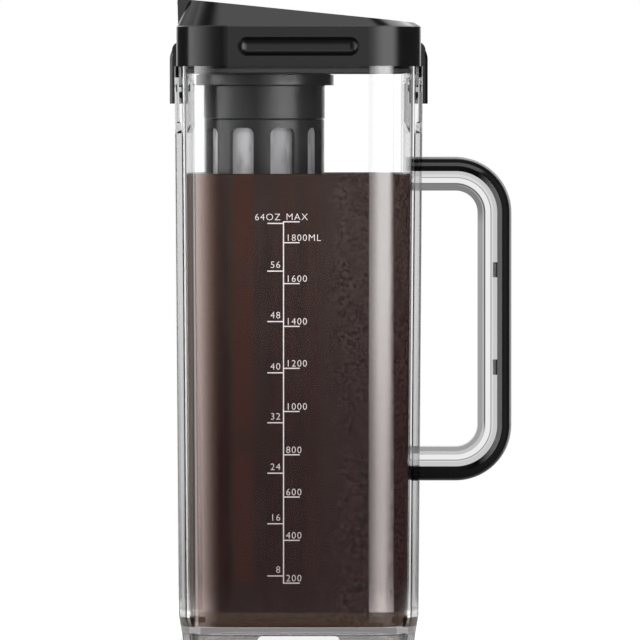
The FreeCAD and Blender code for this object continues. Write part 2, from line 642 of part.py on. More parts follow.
# ---- coffee filter -----------------------------------------------------------------------------
def make_filter_holder():
    """Neck, collar and sleeve, with the bayonet slots that the basket's lugs turn in."""
    holder = turned([
        (SLEEVE_BORE, SLEEVE_BOTTOM), (SLEEVE_R - SEAM_BEVEL, SLEEVE_BOTTOM),
        (SLEEVE_R, SLEEVE_BOTTOM + SEAM_BEVEL), (SLEEVE_R, COLLAR_Z),
        (COLLAR_R, COLLAR_Z), (COLLAR_R, COLLAR_TOP), (NECK_R, COLLAR_TOP),
        (NECK_R, COLLAR_TOP + NECK_UP), (SLEEVE_BORE, COLLAR_TOP + NECK_UP),
    ])
    slot_r = LUG_R + LUG_GAP
    slot_arc = LUG_ARC + 2 * LUG_GAP_ARC
    for i in range(BAYONET_N):
        start = 360.0 * i / BAYONET_N - slot_arc / 2
        turn = sector(slot_r, SLEEVE_BORE - OVER, LUG_Z - LUG_GAP, LUG_Z + LUG_H + LUG_GAP, start,
                      slot_arc + TWIST)
        entry = sector(slot_r, SLEEVE_BORE - OVER, SLEEVE_BOTTOM - OVER, LUG_Z + LUG_H, start + TWIST,
                       slot_arc)
        holder = holder.cut(turn).cut(entry)
    return holder


def make_holder_seal():
    return tube(NECK_R + BOSS_WALL, NECK_R + HOLDER_FIT, COLLAR_TOP, BOSS_Z)


def window_cutter(height):
    """One window of the cage, as a bar that points outwards along +X, standing on z = 0."""
    half = BASKET_R * math.sin(math.radians((360.0 / WINDOWS_AROUND - RIB_ARC) / 2))
    x, k = BASKET_R / 2, PANE_R * (1 - math.sqrt(0.5))
    side = height - PANE_R
    outline = Part.Wire([
        Part.makePolygon([V(x, half, side), V(x, half, PANE_BEVEL), V(x, half - PANE_BEVEL, 0),
                          V(x, PANE_BEVEL - half, 0), V(x, -half, PANE_BEVEL), V(x, -half, side)]),
        Part.Arc(V(x, -half, side), V(x, k - half, height - k), V(x, PANE_R - half, height)).toShape(),
        Part.makeLine(V(x, PANE_R - half, height), V(x, half - PANE_R, height)),
        Part.Arc(V(x, half - PANE_R, height), V(x, half - k, height - k), V(x, half, side)).toShape(),
    ])
    return Part.Face(outline).extrude(V(BASKET_R, 0, 0))


def make_filter_frame():
    wall_in = BASKET_R - BASKET_WALL
    neck_out = SLEEVE_BORE - BASKET_NECK_GAP
    neck_in = neck_out - BASKET_NECK_WALL
    neck_top = BASKET_TOP + BASKET_NECK_UP
    foot = BASKET_BOTTOM + CAP_RIM
    frame = turned([
        (BASKET_R, foot), (BASKET_R, BASKET_TOP - SEAM_BEVEL), (BASKET_R - SEAM_BEVEL, BASKET_TOP),
        (neck_out, BASKET_TOP), (neck_out, neck_top), (neck_in, neck_top),
        (neck_in, BASKET_TOP - BASKET_RING_T), (wall_in, BASKET_TOP - BASKET_RING_T), (wall_in, foot),
    ])
    for i in range(BAYONET_N):
        start = 360.0 * i / BAYONET_N - LUG_ARC / 2
        lug = sector(LUG_R, neck_in + BASKET_NECK_WALL / 2, LUG_Z, LUG_Z + LUG_H, start, LUG_ARC)
        frame = fuse(frame, lug)
    height = (TIER_TOP - TIER_BOTTOM - RING_H * (WINDOW_TIERS - 1)) / WINDOW_TIERS
    pitch = 360.0 / WINDOWS_AROUND
    cutters = []
    for tier in range(WINDOW_TIERS):
        for i in range(WINDOWS_AROUND):
            cutter = window_cutter(height)
            cutter.rotate(V(0, 0, 0), Z_AXIS, FIRST_RIB + (i + 0.5) * pitch)
            cutter.translate(V(FILTER_X, 0, TIER_BOTTOM + tier * (height + RING_H)))
            cutters.append(cutter)
    return frame.cut(Part.makeCompound(cutters))


def make_filter_mesh():
    radius = BASKET_R - BASKET_WALL - MESH_GAP
    return tube(radius, radius - MESH_T, BASKET_BOTTOM + CAP_T + CAP_SPIGOT, BASKET_TOP - BASKET_RING_T)


def make_filter_base():
    spigot = BASKET_R - BASKET_WALL - MESH_GAP
    floor = BASKET_BOTTOM + CAP_T
    return turned([
        (0, BASKET_BOTTOM), (BASKET_R - CAP_BEVEL, BASKET_BOTTOM), (BASKET_R, BASKET_BOTTOM + CAP_BEVEL),
        (BASKET_R, BASKET_BOTTOM + CAP_RIM), (spigot, BASKET_BOTTOM + CAP_RIM),
        (spigot, floor + CAP_SPIGOT), (spigot - CAP_WALL, floor + CAP_SPIGOT),
        (spigot - CAP_WALL, floor), (0, floor),
    ])


# ---- all the pieces ----------------------------------------------------------------------------
def make_all():
    grip = make_handle_grip()
    core = make_handle_core(grip)
    seal = make_flap_seal()
    latch = make_latch()
    return {
        "pitcher_body": make_pitcher_body([core, grip]),
        "handle_core": core,
        "handle_grip": grip,
        "lid_band": make_lid_band(),
        "lid_plug": make_lid_plug(),
        "lid_cover": make_lid_cover(),
        "lid_gasket": make_lid_gasket(),
        "latch_pin_left": mirrored(latch_pin(0), -1),
        "latch_pin_right": latch_pin(0),
        "latch_left": mirrored(latch, -1),
        "latch_right": latch,
        "flap_pin": make_flap_pin(),
        "pour_flap": make_pour_flap(seal),
        "flap_seal": seal,
        "filter_holder": make_filter_holder(),
        "holder_seal": make_holder_seal(),
        "filter_frame": make_filter_frame(),
        "filter_mesh": make_filter_mesh(),
        "filter_base": make_filter_base(),
    }


os.makedirs("parts", exist_ok=True)
for name, shape in make_all().items():
    shape.exportStep("parts/" + name + ".step")
    print(name, len(shape.Solids), shape.isValid(), round(shape.Volume))
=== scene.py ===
"""Cold brew coffee maker: looks, coffee, printed scale, floor, light and camera round the CAD model.

Lengths are in mm unless a name or comment says otherwise. X runs towards the handle, Y away from the
camera and Z up, and the pitcher's middle is at X = Y = 0.
"""
import math

import bmesh
import bpy
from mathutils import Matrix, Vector


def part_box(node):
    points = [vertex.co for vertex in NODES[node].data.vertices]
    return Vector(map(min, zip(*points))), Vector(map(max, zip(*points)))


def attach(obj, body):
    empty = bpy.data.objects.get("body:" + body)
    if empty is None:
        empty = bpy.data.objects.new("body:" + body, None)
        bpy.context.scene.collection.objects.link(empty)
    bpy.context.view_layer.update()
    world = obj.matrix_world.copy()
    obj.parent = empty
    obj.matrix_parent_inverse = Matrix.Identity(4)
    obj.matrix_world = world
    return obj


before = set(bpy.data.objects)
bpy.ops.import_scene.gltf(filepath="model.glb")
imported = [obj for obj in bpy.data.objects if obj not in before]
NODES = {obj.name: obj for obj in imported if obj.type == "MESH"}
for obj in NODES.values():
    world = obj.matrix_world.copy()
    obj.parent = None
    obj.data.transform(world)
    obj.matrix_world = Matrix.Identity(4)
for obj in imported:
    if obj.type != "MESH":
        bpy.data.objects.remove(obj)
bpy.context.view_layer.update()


MM = 0.001


def node_box(node):
    """Lowest and highest corner of a CAD node, in mm."""
    return [[round(v / MM, 3) for v in corner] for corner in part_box(node)]


# ---- the pitcher, as the CAD has it ---------------------------------------------------------------
BODY_HALF = node_box("pitcher_body")[1][0]  # half its width at the shoulder
SHOULDER_Z = node_box("lid_band")[0][2]     # ledge that the lid's band stands on
CORNER_R = 25.4                             # outer corner radius at the shoulder
WALL = 5.0
HEEL_Z = 14.6                               # below it the walls turn in to the foot
HEEL_IN = 2.4                               # how far the foot stands in
FLOOR_Z = 9.9                               # top of the floor, inside
FOOT_Z = 6.7                                # underside of the floor
DRAFT = math.tan(math.radians(0.42))        # lean of the outer walls

# ---- the filter and the lid -----------------------------------------------------------------------
FILTER_BOX = node_box("filter_base")
FILTER_X = (FILTER_BOX[0][0] + FILTER_BOX[1][0]) / 2
COLLAR_Z = 263.2                            # underside of the holder's collar
PILL_Z = 280.9                              # bright line along the finger grips of the lid's band
PILL_RUN = 24.0                             # half the straight run of a finger grip

# ---- the handle's outer outline and its layers ----------------------------------------------------
GRIP_BOX = node_box("handle_grip")
HANDLE_OUT = GRIP_BOX[1][0]
HANDLE_TOP = GRIP_BOX[1][2]
HANDLE_BOTTOM = GRIP_BOX[0][2]
HANDLE_R = 26.3                             # outer bend radius
HANDLE_START = 25.4                         # where the outline's right half starts, inside the pitcher
GRIP_T = 6.7                                # thickness of the black strip
PEG_CLEAR = 0.2                             # its pegs start this far past that thickness
CORE_T = 9.2                                # thickness of the clear core
CORE_BEVEL = 3.6                            # bevel of its inner edges
CORE_EDGE = 2.6                             # bevel of its edges beside the strip

# ---- the coffee -----------------------------------------------------------------------------------
COFFEE_Z = 220.9                            # its level
COFFEE_GAP = 0.25                           # from the wall
FLOOR_GAP = 0.1                             # from the floor

# ---- the camera: a long lens in front of the pitcher ----------------------------------------------
CAMERA_D = 4000.0
CAMERA_Z = 250.0
CAMERA_END = 20.0                           # how far it sees, in metres
AIM_X = 10.0
AIM_Z = 152.3
FRAME_MM = 302.5                            # width of the frame at the pitcher's middle
FRAME_PX = 640                              # the same width in the photograph's pixels
PX = FRAME_MM / FRAME_PX
SENSOR = 36.0


def outer_half(z):
    """Half the pitcher's outer width at a height."""
    if z >= HEEL_Z:
        return BODY_HALF - (SHOULDER_Z - z) * DRAFT
    return outer_half(HEEL_Z) - HEEL_IN * (HEEL_Z - z) / HEEL_Z


def front_place(column, row):
    """X and Z on the pitcher's front wall of a place in the 640 x 640 frame."""
    near = 1 - BODY_HALF / CAMERA_D
    x = AIM_X + (column - FRAME_PX / 2) * PX * near
    z = CAMERA_Z + (AIM_Z + (FRAME_PX / 2 - row) * PX - CAMERA_Z) * near
    return x, z


# ---- node helpers ---------------------------------------------------------------------------------
class Nodes:
    """A material's or the world's node tree, with short calls for its nodes."""

    def __init__(self, tree, output_kind):
        self.tree = tree
        tree.nodes.clear()
        self.output = self.add(output_kind)

    def add(self, kind, **settings):
        node = self.tree.nodes.new(kind)
        for key, value in settings.items():
            setattr(node, key, value)
        return node

    def link(self, source, target):
        self.tree.links.new(source, target)

    def put(self, value, socket):
        """Gives a socket its value, which is another node's socket or a plain one."""
        if isinstance(value, bpy.types.NodeSocket):
            self.link(value, socket)
        else:
            socket.default_value = value

    def show(self, surface):
        self.link(surface, self.output.inputs["Surface"])

    # -- numbers
    def math(self, operation, first, second=0.0):
        node = self.add("ShaderNodeMath", operation=operation)
        self.put(first, node.inputs[0])
        self.put(second, node.inputs[1])
        return node.outputs[0]

    def chain(self, operation, values):
        """One operation over several values, from left to right."""
        result = values[0]
        for value in values[1:]:
            result = self.math(operation, result, value)
        return result

    def times(self, *values):
        return self.chain("MULTIPLY", values)

    def plus(self, *values):
        return self.chain("ADD", values)

    def most(self, *values):
        return self.chain("MAXIMUM", values)

    def least(self, *values):
        return self.chain("MINIMUM", values)

    def minus(self, first, second):
        return self.math("SUBTRACT", first, second)

    def size(self, value):
        return self.math("ABSOLUTE", value)

    def length(self, first, second):
        """Length of a line, from its reach along two axes."""
        return self.math("SQRT", self.plus(self.times(first, first), self.times(second, second)))

    def ramp(self, value, low, high, out_low=0.0, out_high=1.0):
        """Smooth step of a value between two limits."""
        node = self.add("ShaderNodeMapRange", interpolation_type="SMOOTHSTEP")
        for item, socket in zip((value, low, high, out_low, out_high), node.inputs):
            self.put(item, socket)
        return node.outputs[0]

    def fall(self, value, low, high):
        """1 below two limits, 0 above them."""
        return self.ramp(value, low, high, 1.0, 0.0)

    def window(self, value, low, high, soft):
        """1 between two limits, 0 outside them."""
        rise = self.ramp(value, low - soft, low + soft)
        return self.times(rise, self.fall(value, high - soft, high + soft))

    def between(self, share, first, second):
        """A number between two others: the first at share 0, the second at share 1."""
        node = self.add("ShaderNodeMix", data_type="FLOAT")
        self.put(share, node.inputs[0])
        self.put(first, node.inputs[2])
        self.put(second, node.inputs[3])
        return node.outputs[0]

    # -- colours and shaders
    def mix(self, share, first, second, blend="MIX"):
        """A colour between two others: the first at share 0, the second at share 1.

        blend names another way to lay the second over the first."""
        node = self.add("ShaderNodeMix", data_type="RGBA", blend_type=blend)
        self.put(share, node.inputs[0])
        self.put(first, node.inputs[6])
        self.put(second, node.inputs[7])
        return node.outputs[2]

    def coats(self, colour, *coats):
        """A colour with coats over it, each given by its share and its own colour."""
        for share, coat in coats:
            colour = self.mix(share, colour, coat)
        return colour

    def mix_shaders(self, share, first, second):
        node = self.add("ShaderNodeMixShader")
        for source, socket in zip((share, first, second), node.inputs):
            self.link(source, socket)
        return node.outputs[0]

    # -- places, and patterns on them
    def coordinates(self, kind):
        """One of a surface's coordinates, as a vector and as its three parts."""
        node = self.add("ShaderNodeTexCoord")
        split = self.add("ShaderNodeSeparateXYZ")
        self.link(node.outputs[kind], split.inputs[0])
        return node.outputs[kind], split.outputs

    def place(self):
        """The place on the object, as a vector in metres."""
        return self.coordinates("Object")[0]

    def axes(self):
        """The X, Y and Z of the place on the object, in mm."""
        return [self.times(axis, 1 / MM) for axis in self.coordinates("Object")[1]]

    def facing(self):
        """How squarely a face looks to the front or the back: 1 on such a wall, 0 on the sides."""
        return self.size(self.coordinates("Normal")[1][1])

    def upright(self):
        """How squarely a face looks up: 1 on level tops, 0 on walls, below 0 on undersides."""
        return self.coordinates("Normal")[1][2]

    def noise(self, vector, scale, detail=2.0, roughness=0.5):
        """Noise from 0 to 1, on a vector in metres."""
        node = self.add("ShaderNodeTexNoise")
        self.put(vector, node.inputs["Vector"])
        node.inputs["Scale"].default_value = scale
        node.inputs["Detail"].default_value = detail
        node.inputs["Roughness"].default_value = roughness
        return node.outputs["Fac"]

    def stretched(self, vector, scale):
        node = self.add("ShaderNodeMapping")
        self.link(vector, node.inputs["Vector"])
        node.inputs["Scale"].default_value = scale
        return node.outputs[0]

    def bump(self, height, strength, distance):
        """A bumpy normal; its distance is in metres."""
        node = self.add("ShaderNodeBump")
        node.inputs["Strength"].default_value = strength
        node.inputs["Distance"].default_value = distance
        self.link(height, node.inputs["Height"])
        return node.outputs[0]


def principled(name, **values):
    """A new material with one Principled shader; values are its sockets, with _ for a space."""
    material = bpy.data.materials.new(name)
    material.use_nodes = True
    n = Nodes(material.node_tree, "ShaderNodeOutputMaterial")
    shader = n.add("ShaderNodeBsdfPrincipled")
    n.show(shader.outputs[0])
    for key, value in values.items():
        shader.inputs[key.replace("_", " ")].default_value = value
    return material, n, shader


def rgb(red, green, blue):
    """Linear colour of an 8-bit sRGB one."""
    linear = []
    for value in (red, green, blue):
        c = value / 255
        linear.append(c / 12.92 if c <= 0.04045 else ((c + 0.055) / 1.055) ** 2.4)
    return (*linear, 1.0)


def grey(level):
    return (level, level, level, 1.0)


# ---- materials ------------------------------------------------------------------------------------
# A pair of lengths is where a soft edge starts and where it ends, a pair named _SHARE or _DARK is what
# a share or a darkness is at the two ends of such a stretch, and one named _NOISE is the stretch of a
# noise over which a pattern changes.
WHITE = grey(1.0)
SHARP = 0.1                    # half the width of a sharp change
MIDDLE = (-1.0, 1.0)           # X or Y: over the pitcher's middle
BACK_WALL = (20.0, 30.0)       # Y: the back wall starts
FRONT_CORNER = (-34.5, -31.5)  # Y: the front corners end


def drafted(n, z, at_shoulder):
    """A half width of the pitcher that shrinks downwards from its value at the shoulder."""
    return n.plus(n.times(z, DRAFT), at_shoulder - SHOULDER_Z * DRAFT)


def past_corner(n, across, z):
    """How far a place is past the centre of the pitcher's corner radius, along one axis."""
    return n.minus(n.size(across), drafted(n, z, BODY_HALF - CORNER_R))


def wall_depth(n, axes):
    """How deep inside the pitcher's right face a place is."""
    x, _, z = axes
    return n.minus(drafted(n, z, BODY_HALF), x)


def handle_inset(n, axes):
    """How far inside the handle's outer outline a place is."""
    x, _, z = axes
    half_x = HANDLE_OUT - HANDLE_START
    half_z = (HANDLE_TOP - HANDLE_BOTTOM) / 2
    past_x = n.minus(n.size(n.minus(x, HANDLE_START)), half_x - HANDLE_R)
    past_z = n.minus(n.size(n.minus(z, HANDLE_BOTTOM + half_z)), half_z - HANDLE_R)
    beyond = n.length(n.most(past_x, 0.0), n.most(past_z, 0.0))
    within = n.least(n.most(past_x, past_z), 0.0)
    return n.minus(HANDLE_R, n.plus(beyond, within))


# -- moulded black plastic and silicone
GRAIN = 0.35                   # strength of the fine grain's bump
SMUDGE_NOISE = (0.3, 0.75)
SMUDGES = (0.88, 1.15)         # times the roughness: the most and the least glossy smudges
TOP_FACING = (0.93, 0.97)      # how level a face of the lid is before it counts as its top
TOP_DULL = 0.75
# painted shade in the finger grips: the share of dark matte away from their bright line
PILL_SHADE = 0.85
PILL_FADE = (0.3, 2.6)         # from a finger grip's bright line, up and down
PILL_RIM = (4.1, 4.3)          # from the finger grip's middle to its rim
PILL_END = (0.6, 2.2)          # past the end of its straight run
PILL_Y = (50.0, 51.0)          # only in the band's front and back face
# painted shade in the corner under the holder's collar
COLLAR_SHADE = (COLLAR_Z - 0.45, COLLAR_Z + 0.15)


def clouds(n, place):
    """Faint clouds a few centimetres wide."""
    return n.noise(place, scale=38.0, detail=3.0)


def moulded(name, dark, light, roughness, grain, depth, specular=0.5, dull=None):
    """Moulded plastic: a fine grain, faint clouds in its colour and smudges in its gloss.

    dull gives the share of a face without gloss at each place, where it has one."""
    material, n, shader = principled(name, Specular_IOR_Level=specular)
    place = n.place()
    n.link(n.mix(clouds(n, place), dark, light), shader.inputs["Base Color"])
    smudge = n.noise(place, scale=120.0, detail=4.0, roughness=0.6)
    duller = n.ramp(smudge, *SMUDGE_NOISE, *(roughness * part for part in SMUDGES))
    n.link(duller, shader.inputs["Roughness"])
    n.link(n.bump(n.noise(place, grain), GRAIN, depth), shader.inputs["Normal"])
    if dull:
        flat = n.add("ShaderNodeBsdfDiffuse")
        flat.inputs["Color"].default_value = dark
        n.show(n.mix_shaders(dull(n, n.axes()), shader.outputs[0], flat.outputs[0]))
    return material


def lid_dull_and_shade(n, axes):
    """The lid's top is textured, and the finger grips have painted shade: their gloss gives way to a dark
    matte towards their long edges.
    """
    x, y, z = axes
    top = n.times(n.ramp(n.upright(), *TOP_FACING), TOP_DULL)
    off_line = n.size(n.minus(z, PILL_Z))
    past_run = n.most(n.minus(n.size(x), PILL_RUN), 0.0)
    in_pill = n.times(
        n.fall(n.length(past_run, off_line), *PILL_RIM),
        n.fall(past_run, *PILL_END),
        n.ramp(n.size(y), *PILL_Y),
    )
    # painted shade in the finger grips, growing away from the bright line
    grip = n.times(n.ramp(off_line, *PILL_FADE), PILL_SHADE)
    return n.most(top, n.times(grip, in_pill))


def collar_shade(n, axes):
    """Painted shade: a dark line in the corner under the holder's collar."""
    return n.window(axes[2], *COLLAR_SHADE, soft=0.08)


# -- the black grip strip of the handle
GRIP_BLACK = ((0.004, 0.004, 0.0041, 1), (0.007, 0.007, 0.0072, 1))
RIM_HIGHLIGHT_FACING = (0.12, 0.6)      # painted highlight on the faces of the strip's rounded outer edge
RIM_HIGHLIGHT_INSET = (1.0, 1.6)
RIM_HIGHLIGHT_Z = (84.0, 100.0)
RIM_HIGHLIGHT_SHARE = (0.2, 1.0)
PALE_FACING = (0.62, 0.8)      # painted highlight on the faces of its inner bevels
PALE_INSET = (4.2, 4.6)
PALE_X = (84.0, 94.0)
PEG_INSET = (GRIP_T + PEG_CLEAR, GRIP_T + PEG_CLEAR + 0.8)
SHEEN_INSET = (2.7, 4.2)       # painted sheen on the flat of the upper arm
SHEEN_Z = (HANDLE_TOP - 8.0, HANDLE_TOP - 6.0)


def grip_look(name):
    """Black grip strip with a lighter line of painted highlight on its rounded edges, inner bevels paler
    with painted highlight, and a painted sheen on its upper arm.
    """
    material, n, shader = principled(name, Roughness=0.3, Specular_IOR_Level=0.035)
    place, axes = n.place(), n.axes()
    x, _, z = axes
    facing = n.facing()
    inset = handle_inset(n, axes)
    # painted highlights: a lighter line on the rounded edges, paler inner bevels and a sheen along the
    # upper arm
    rim_highlight = n.times(
        n.window(facing, *RIM_HIGHLIGHT_FACING, soft=0.1),
        n.fall(inset, *RIM_HIGHLIGHT_INSET),
        n.ramp(z, *RIM_HIGHLIGHT_Z, *RIM_HIGHLIGHT_SHARE),
    )
    pale = n.times(
        n.window(facing, *PALE_FACING, soft=0.04),
        n.ramp(inset, *PALE_INSET),
        n.ramp(x, *PALE_X),
    )
    sheen = n.times(n.window(inset, *SHEEN_INSET, soft=0.3), n.ramp(z, *SHEEN_Z))
    colour = n.coats(
        n.mix(clouds(n, place), *GRIP_BLACK),
        (rim_highlight, grey(0.27)),
        (pale, grey(0.24)),
        (n.ramp(inset, *PEG_INSET), grey(0.5)),
        (sheen, grey(0.075)),
    )
    n.link(colour, shader.inputs["Base Color"])
    n.link(n.bump(n.noise(place, scale=2600.0), GRAIN, distance=0.00002), shader.inputs["Normal"])
    return material


# -- clear plastic
SOCKET_IN = (0.1, 4.6)         # the sockets of the handle's arms: deep into the wall,
SOCKET_Z = (70.0, 236.0)       # up the wall,
SOCKET_Y = (25.0, 26.0)        # and to each side of its middle
FILM_ROUGHNESS = 0.09
PASSED = grey(0.95)            # what a face keeps of the rays that pass it straight


def in_socket(n, axes):
    """1 on the faces where the handle's arms sit in the wall, 0 elsewhere."""
    sunk = n.window(wall_depth(n, axes), *SOCKET_IN, soft=0.02)
    level = n.window(axes[2], *SOCKET_Z, soft=1.0)
    return n.times(sunk, level, n.fall(n.size(axes[1]), *SOCKET_Y))


def clear_plastic(name, tint, ior, waves, absorbed, film=None):
    """Clear plastic that greys long ways through it. Shadows and soft light pass straight.

    tint gives its colour at each place; film gives the share of a glossy face there, where it has one."""
    material, n, shader = principled(name, Transmission_Weight=1.0, IOR=ior, Roughness=0.0)
    axes = n.axes()
    n.link(tint(n, axes), shader.inputs["Base Color"])
    flow = n.noise(n.stretched(n.place(), (1.0, 1.0, 0.22)), scale=55.0, detail=1.0)
    n.link(n.bump(flow, strength=0.25, distance=waves), shader.inputs["Normal"])
    body = shader.outputs[0]
    if film:
        gloss = n.add("ShaderNodeBsdfAnisotropic")
        gloss.inputs["Roughness"].default_value = FILM_ROUGHNESS
        n.link(film_colour(n, axes), gloss.inputs["Color"])
        body = n.mix_shaders(film(n, axes), body, gloss.outputs[0])
    through = n.add("ShaderNodeBsdfTransparent")
    through.inputs["Color"].default_value = PASSED
    path = n.add("ShaderNodeLightPath")
    straight = n.most(path.outputs["Is Shadow Ray"], path.outputs["Is Diffuse Ray"], in_socket(n, axes))
    n.show(n.mix_shaders(straight, body, through.outputs[0]))
    volume = n.add("ShaderNodeVolumeAbsorption")
    volume.inputs["Color"].default_value = grey(0.0)
    volume.inputs["Density"].default_value = absorbed
    n.link(volume.outputs[0], n.output.inputs["Volume"])
    return material


# -- the glossy stripes at the pitcher's corners
FILM_LEFT_X = (-48.0, -45.5)   # the left stripe is redder inwards,
FILM_LEFT = ((1.0, 0.9, 0.885, 1), (1.0, 0.80, 0.77, 1))
FILM_RIGHT_Z = (50.0, 200.0)   # and the right one paler upwards
FILM_RIGHT = ((1.0, 0.89, 0.875, 1), (1.0, 0.96, 0.935, 1))
FILM_WHITE_Z = (COFFEE_Z - 1, COFFEE_Z + 1)
FILM_INSIDE = (21.5, 22.5)     # from the corner's centre: inner faces only
FILM_CURVED = (-0.5, 1.5)      # past that centre along both axes: rounded faces only
FILM_FADE = (5.0, 17.2)        # past it along X: the left stripe grows towards the side wall
BAND_TOP = (16.6, 17.2)        # Z: the brown band at the coffee's foot
BAND_FOOT = (9.8, 10.2)
BAND_FILM = (0.6, 0.15)        # the film's share in the band, at the left and at the right
LOW_Z = (14.0, 32.0)           # the stripes are stronger near the foot
LOW_SHARE = (2.2, 1.0)
RIGHT_X = (32.8, 44.2)         # the right stripe
RIGHT_Z = (60.0, 190.0)
RIGHT_SHARE = (0.112, 0.166)
RIGHT_CORE_X = (33.5, 39.0)    # it is weaker towards its inner edge
RIGHT_CORE_Z = (80.0, 160.0)
RIGHT_CORE_SHARE = (0.64, 0.84)
LEFT_SHARE = 0.117             # the left stripe at the foot,
LEFT_RISE = 0.00027            # and what each mm up adds to it
LEFT_SIDE = (15.0, 17.0)
LEFT_SIDE_SHARE = (1.0, 1.3)
LEFT_END_X = (-49.2, -48.6)    # it ends here near the foot,
LEFT_END_Z = (24.0, 34.0)      # and reaches the wall higher up


def film_colour(n, axes):
    """Colour of the gloss: white above the coffee, warm below its level."""
    x, _, z = axes
    left = n.mix(n.ramp(x, *FILM_LEFT_X), *FILM_LEFT)
    right = n.mix(n.ramp(z, *FILM_RIGHT_Z), *FILM_RIGHT)
    below = n.mix(n.ramp(x, *MIDDLE), left, right)
    return n.mix(n.ramp(z, *FILM_WHITE_Z), below, WHITE)


def corner_film(n, axes):
    """Share of the glossy face: on the inside of the pitcher's four rounded corners only."""
    x, y, z = axes
    past_x, past_y = past_corner(n, x, z), past_corner(n, y, z)
    on_right = n.ramp(x, *MIDDLE)
    in_band = n.times(n.ramp(z, *BAND_FOOT), n.between(on_right, *BAND_FILM))
    share = n.times(
        n.between(n.ramp(past_x, *FILM_FADE), on_right, 1.0),
        n.ramp(n.least(past_x, past_y), *FILM_CURVED),
        n.fall(n.length(past_x, past_y), *FILM_INSIDE),
        n.most(n.ramp(z, *BAND_TOP), in_band),
        n.ramp(z, *LOW_Z, *LOW_SHARE),
    )
    right = n.times(
        n.ramp(z, *RIGHT_Z, *RIGHT_SHARE),
        n.ramp(x, *RIGHT_CORE_X, n.ramp(z, *RIGHT_CORE_Z, *RIGHT_CORE_SHARE), 1.0),
        n.window(x, *RIGHT_X, soft=0.3),
    )
    left = n.times(
        n.plus(LEFT_SHARE, n.times(z, LEFT_RISE)),
        n.ramp(past_x, *LEFT_SIDE, *LEFT_SIDE_SHARE),
        n.most(n.ramp(x, *LEFT_END_X), n.ramp(z, *LEFT_END_Z)),
    )
    return n.times(share, n.between(on_right, left, right))


# -- tints of the pitcher's clear wall
CLEAR = (0.99, 0.992, 0.992, 1)
# painted shade: greys in the thick floor and the foot under it, and a dark line along the foot's top
SLAB = (0.37, 0.36, 0.36, 1)   # the thick floor,
SLAB_TOP = (FLOOR_Z - SHARP, FLOOR_Z + SHARP)
SLAB_END = (0.8, 0.79, 0.78, 1)
SLAB_END_X = (45.8, 51.2)      # and its paler ends
FOOT = (0.25, 0.24, 0.24, 1)   # the foot under it,
FOOT_TOP = (FOOT_Z - 0.15, FOOT_Z - 0.05)
FOOT_LINE = (0.12, 0.115, 0.115, 1)
FOOT_LINE_Z = (FOOT_Z - 0.8, FOOT_Z - 0.2)
BROWN_END = (0.035, 0.028, 0.022, 1)
BROWN_END_X = (48.4, 48.8)     # and the brown ends of the coffee's band
BROWN_END_Z = (9.8, 14.3)
ROUNDED = (0.2, 0.6)           # past the centre of the corner along Y
# painted shade at the right wall's inner face and behind its latch pocket
INNER_FACE_IN = (4.7, 5.6)         # depth of the wall's inner face,
INNER_FACE_Z = (17.0, 20.0)
INNER_FACE_SHARE = 0.75
SWELL_IN = (6.0, 9.5)          # and of the swelling behind a latch pocket
SWELL_Y = (23.2, 23.6)
SWELL_Z = (242.0, 271.5)
ABOVE_BAND = (16.6, 18.0)      # above it the side walls, seen end on, have painted shade
WALL_END_Z = (30.0, 150.0)
WALL_END_START = (50.2, 51.5)  # X where that grey starts, at the ends of this stretch,
WALL_END_FULL = (50.9, 53.0)   # and where it is full
# painted shade in the side walls seen end on
END_SHADE = ((0.4, 0.39, 0.385, 1), grey(0.66))
END_SHADE_Z = (25.0, 90.0)          # it is darkest near the foot,
END_SHADE_FADE_Z = (90.0, 190.0)    # and fades upwards
END_SHADE_SHARE = (1.0, 0.15)
EDGE_IN = (1.1, 1.6)           # painted shade: dark outer edge of the right wall


def base_coats(n, axes, rounded):
    """Painted shade in the floor and in the foot under it, with a dark line along the foot's top, and the
    brown band in the front corners.
    """
    x, y, z = axes
    across = n.size(x)
    front = n.fall(y, *BACK_WALL)
    slab = n.mix(n.window(across, *SLAB_END_X, soft=0.4), SLAB, SLAB_END)
    brown = n.times(n.window(z, *BROWN_END_Z, soft=0.2), n.ramp(across, *BROWN_END_X), rounded, front)
    return (
        (n.fall(z, *SLAB_TOP), slab),
        (n.fall(z, *FOOT_TOP), n.mix(front, CLEAR, FOOT)),
        (n.times(n.window(z, *FOOT_LINE_Z, soft=SHARP), front), FOOT_LINE),
        (brown, BROWN_END),
    )


def right_wall_coats(n, axes):
    """Painted shade: grey at the right wall's inner face, and over the swelling behind its latch pocket.
    """
    depth = wall_depth(n, axes)
    _, y, z = axes
    inner_face_shade = n.times(n.window(depth, *INNER_FACE_IN, soft=SHARP), n.ramp(z, *INNER_FACE_Z), INNER_FACE_SHARE)
    swell = n.times(
        n.window(depth, *SWELL_IN, soft=0.3),
        n.fall(n.size(y), *SWELL_Y),
        n.window(z, *SWELL_Z, soft=0.5),
    )
    return (inner_face_shade, grey(0.3)), (swell, grey(0.34))


def wall_end_coats(n, axes, rounded):
    """Painted shade in the side walls seen end on: grey, most so near the foot, and dark at the right
    one's outer edge.
    """
    x, _, z = axes
    start = n.ramp(z, *WALL_END_Z, *WALL_END_START)
    full = n.ramp(z, *WALL_END_Z, *WALL_END_FULL)
    above_band = n.ramp(z, *ABOVE_BAND)
    end = n.times(
        rounded,
        n.ramp(n.size(x), start, full),
        above_band,
        n.ramp(z, *END_SHADE_FADE_Z, *END_SHADE_SHARE),
    )
    edge_shade = n.times(n.fall(wall_depth(n, axes), *EDGE_IN), rounded, above_band)
    return (end, n.mix(n.ramp(z, *END_SHADE_Z), *END_SHADE)), (edge_shade, grey(0.35))


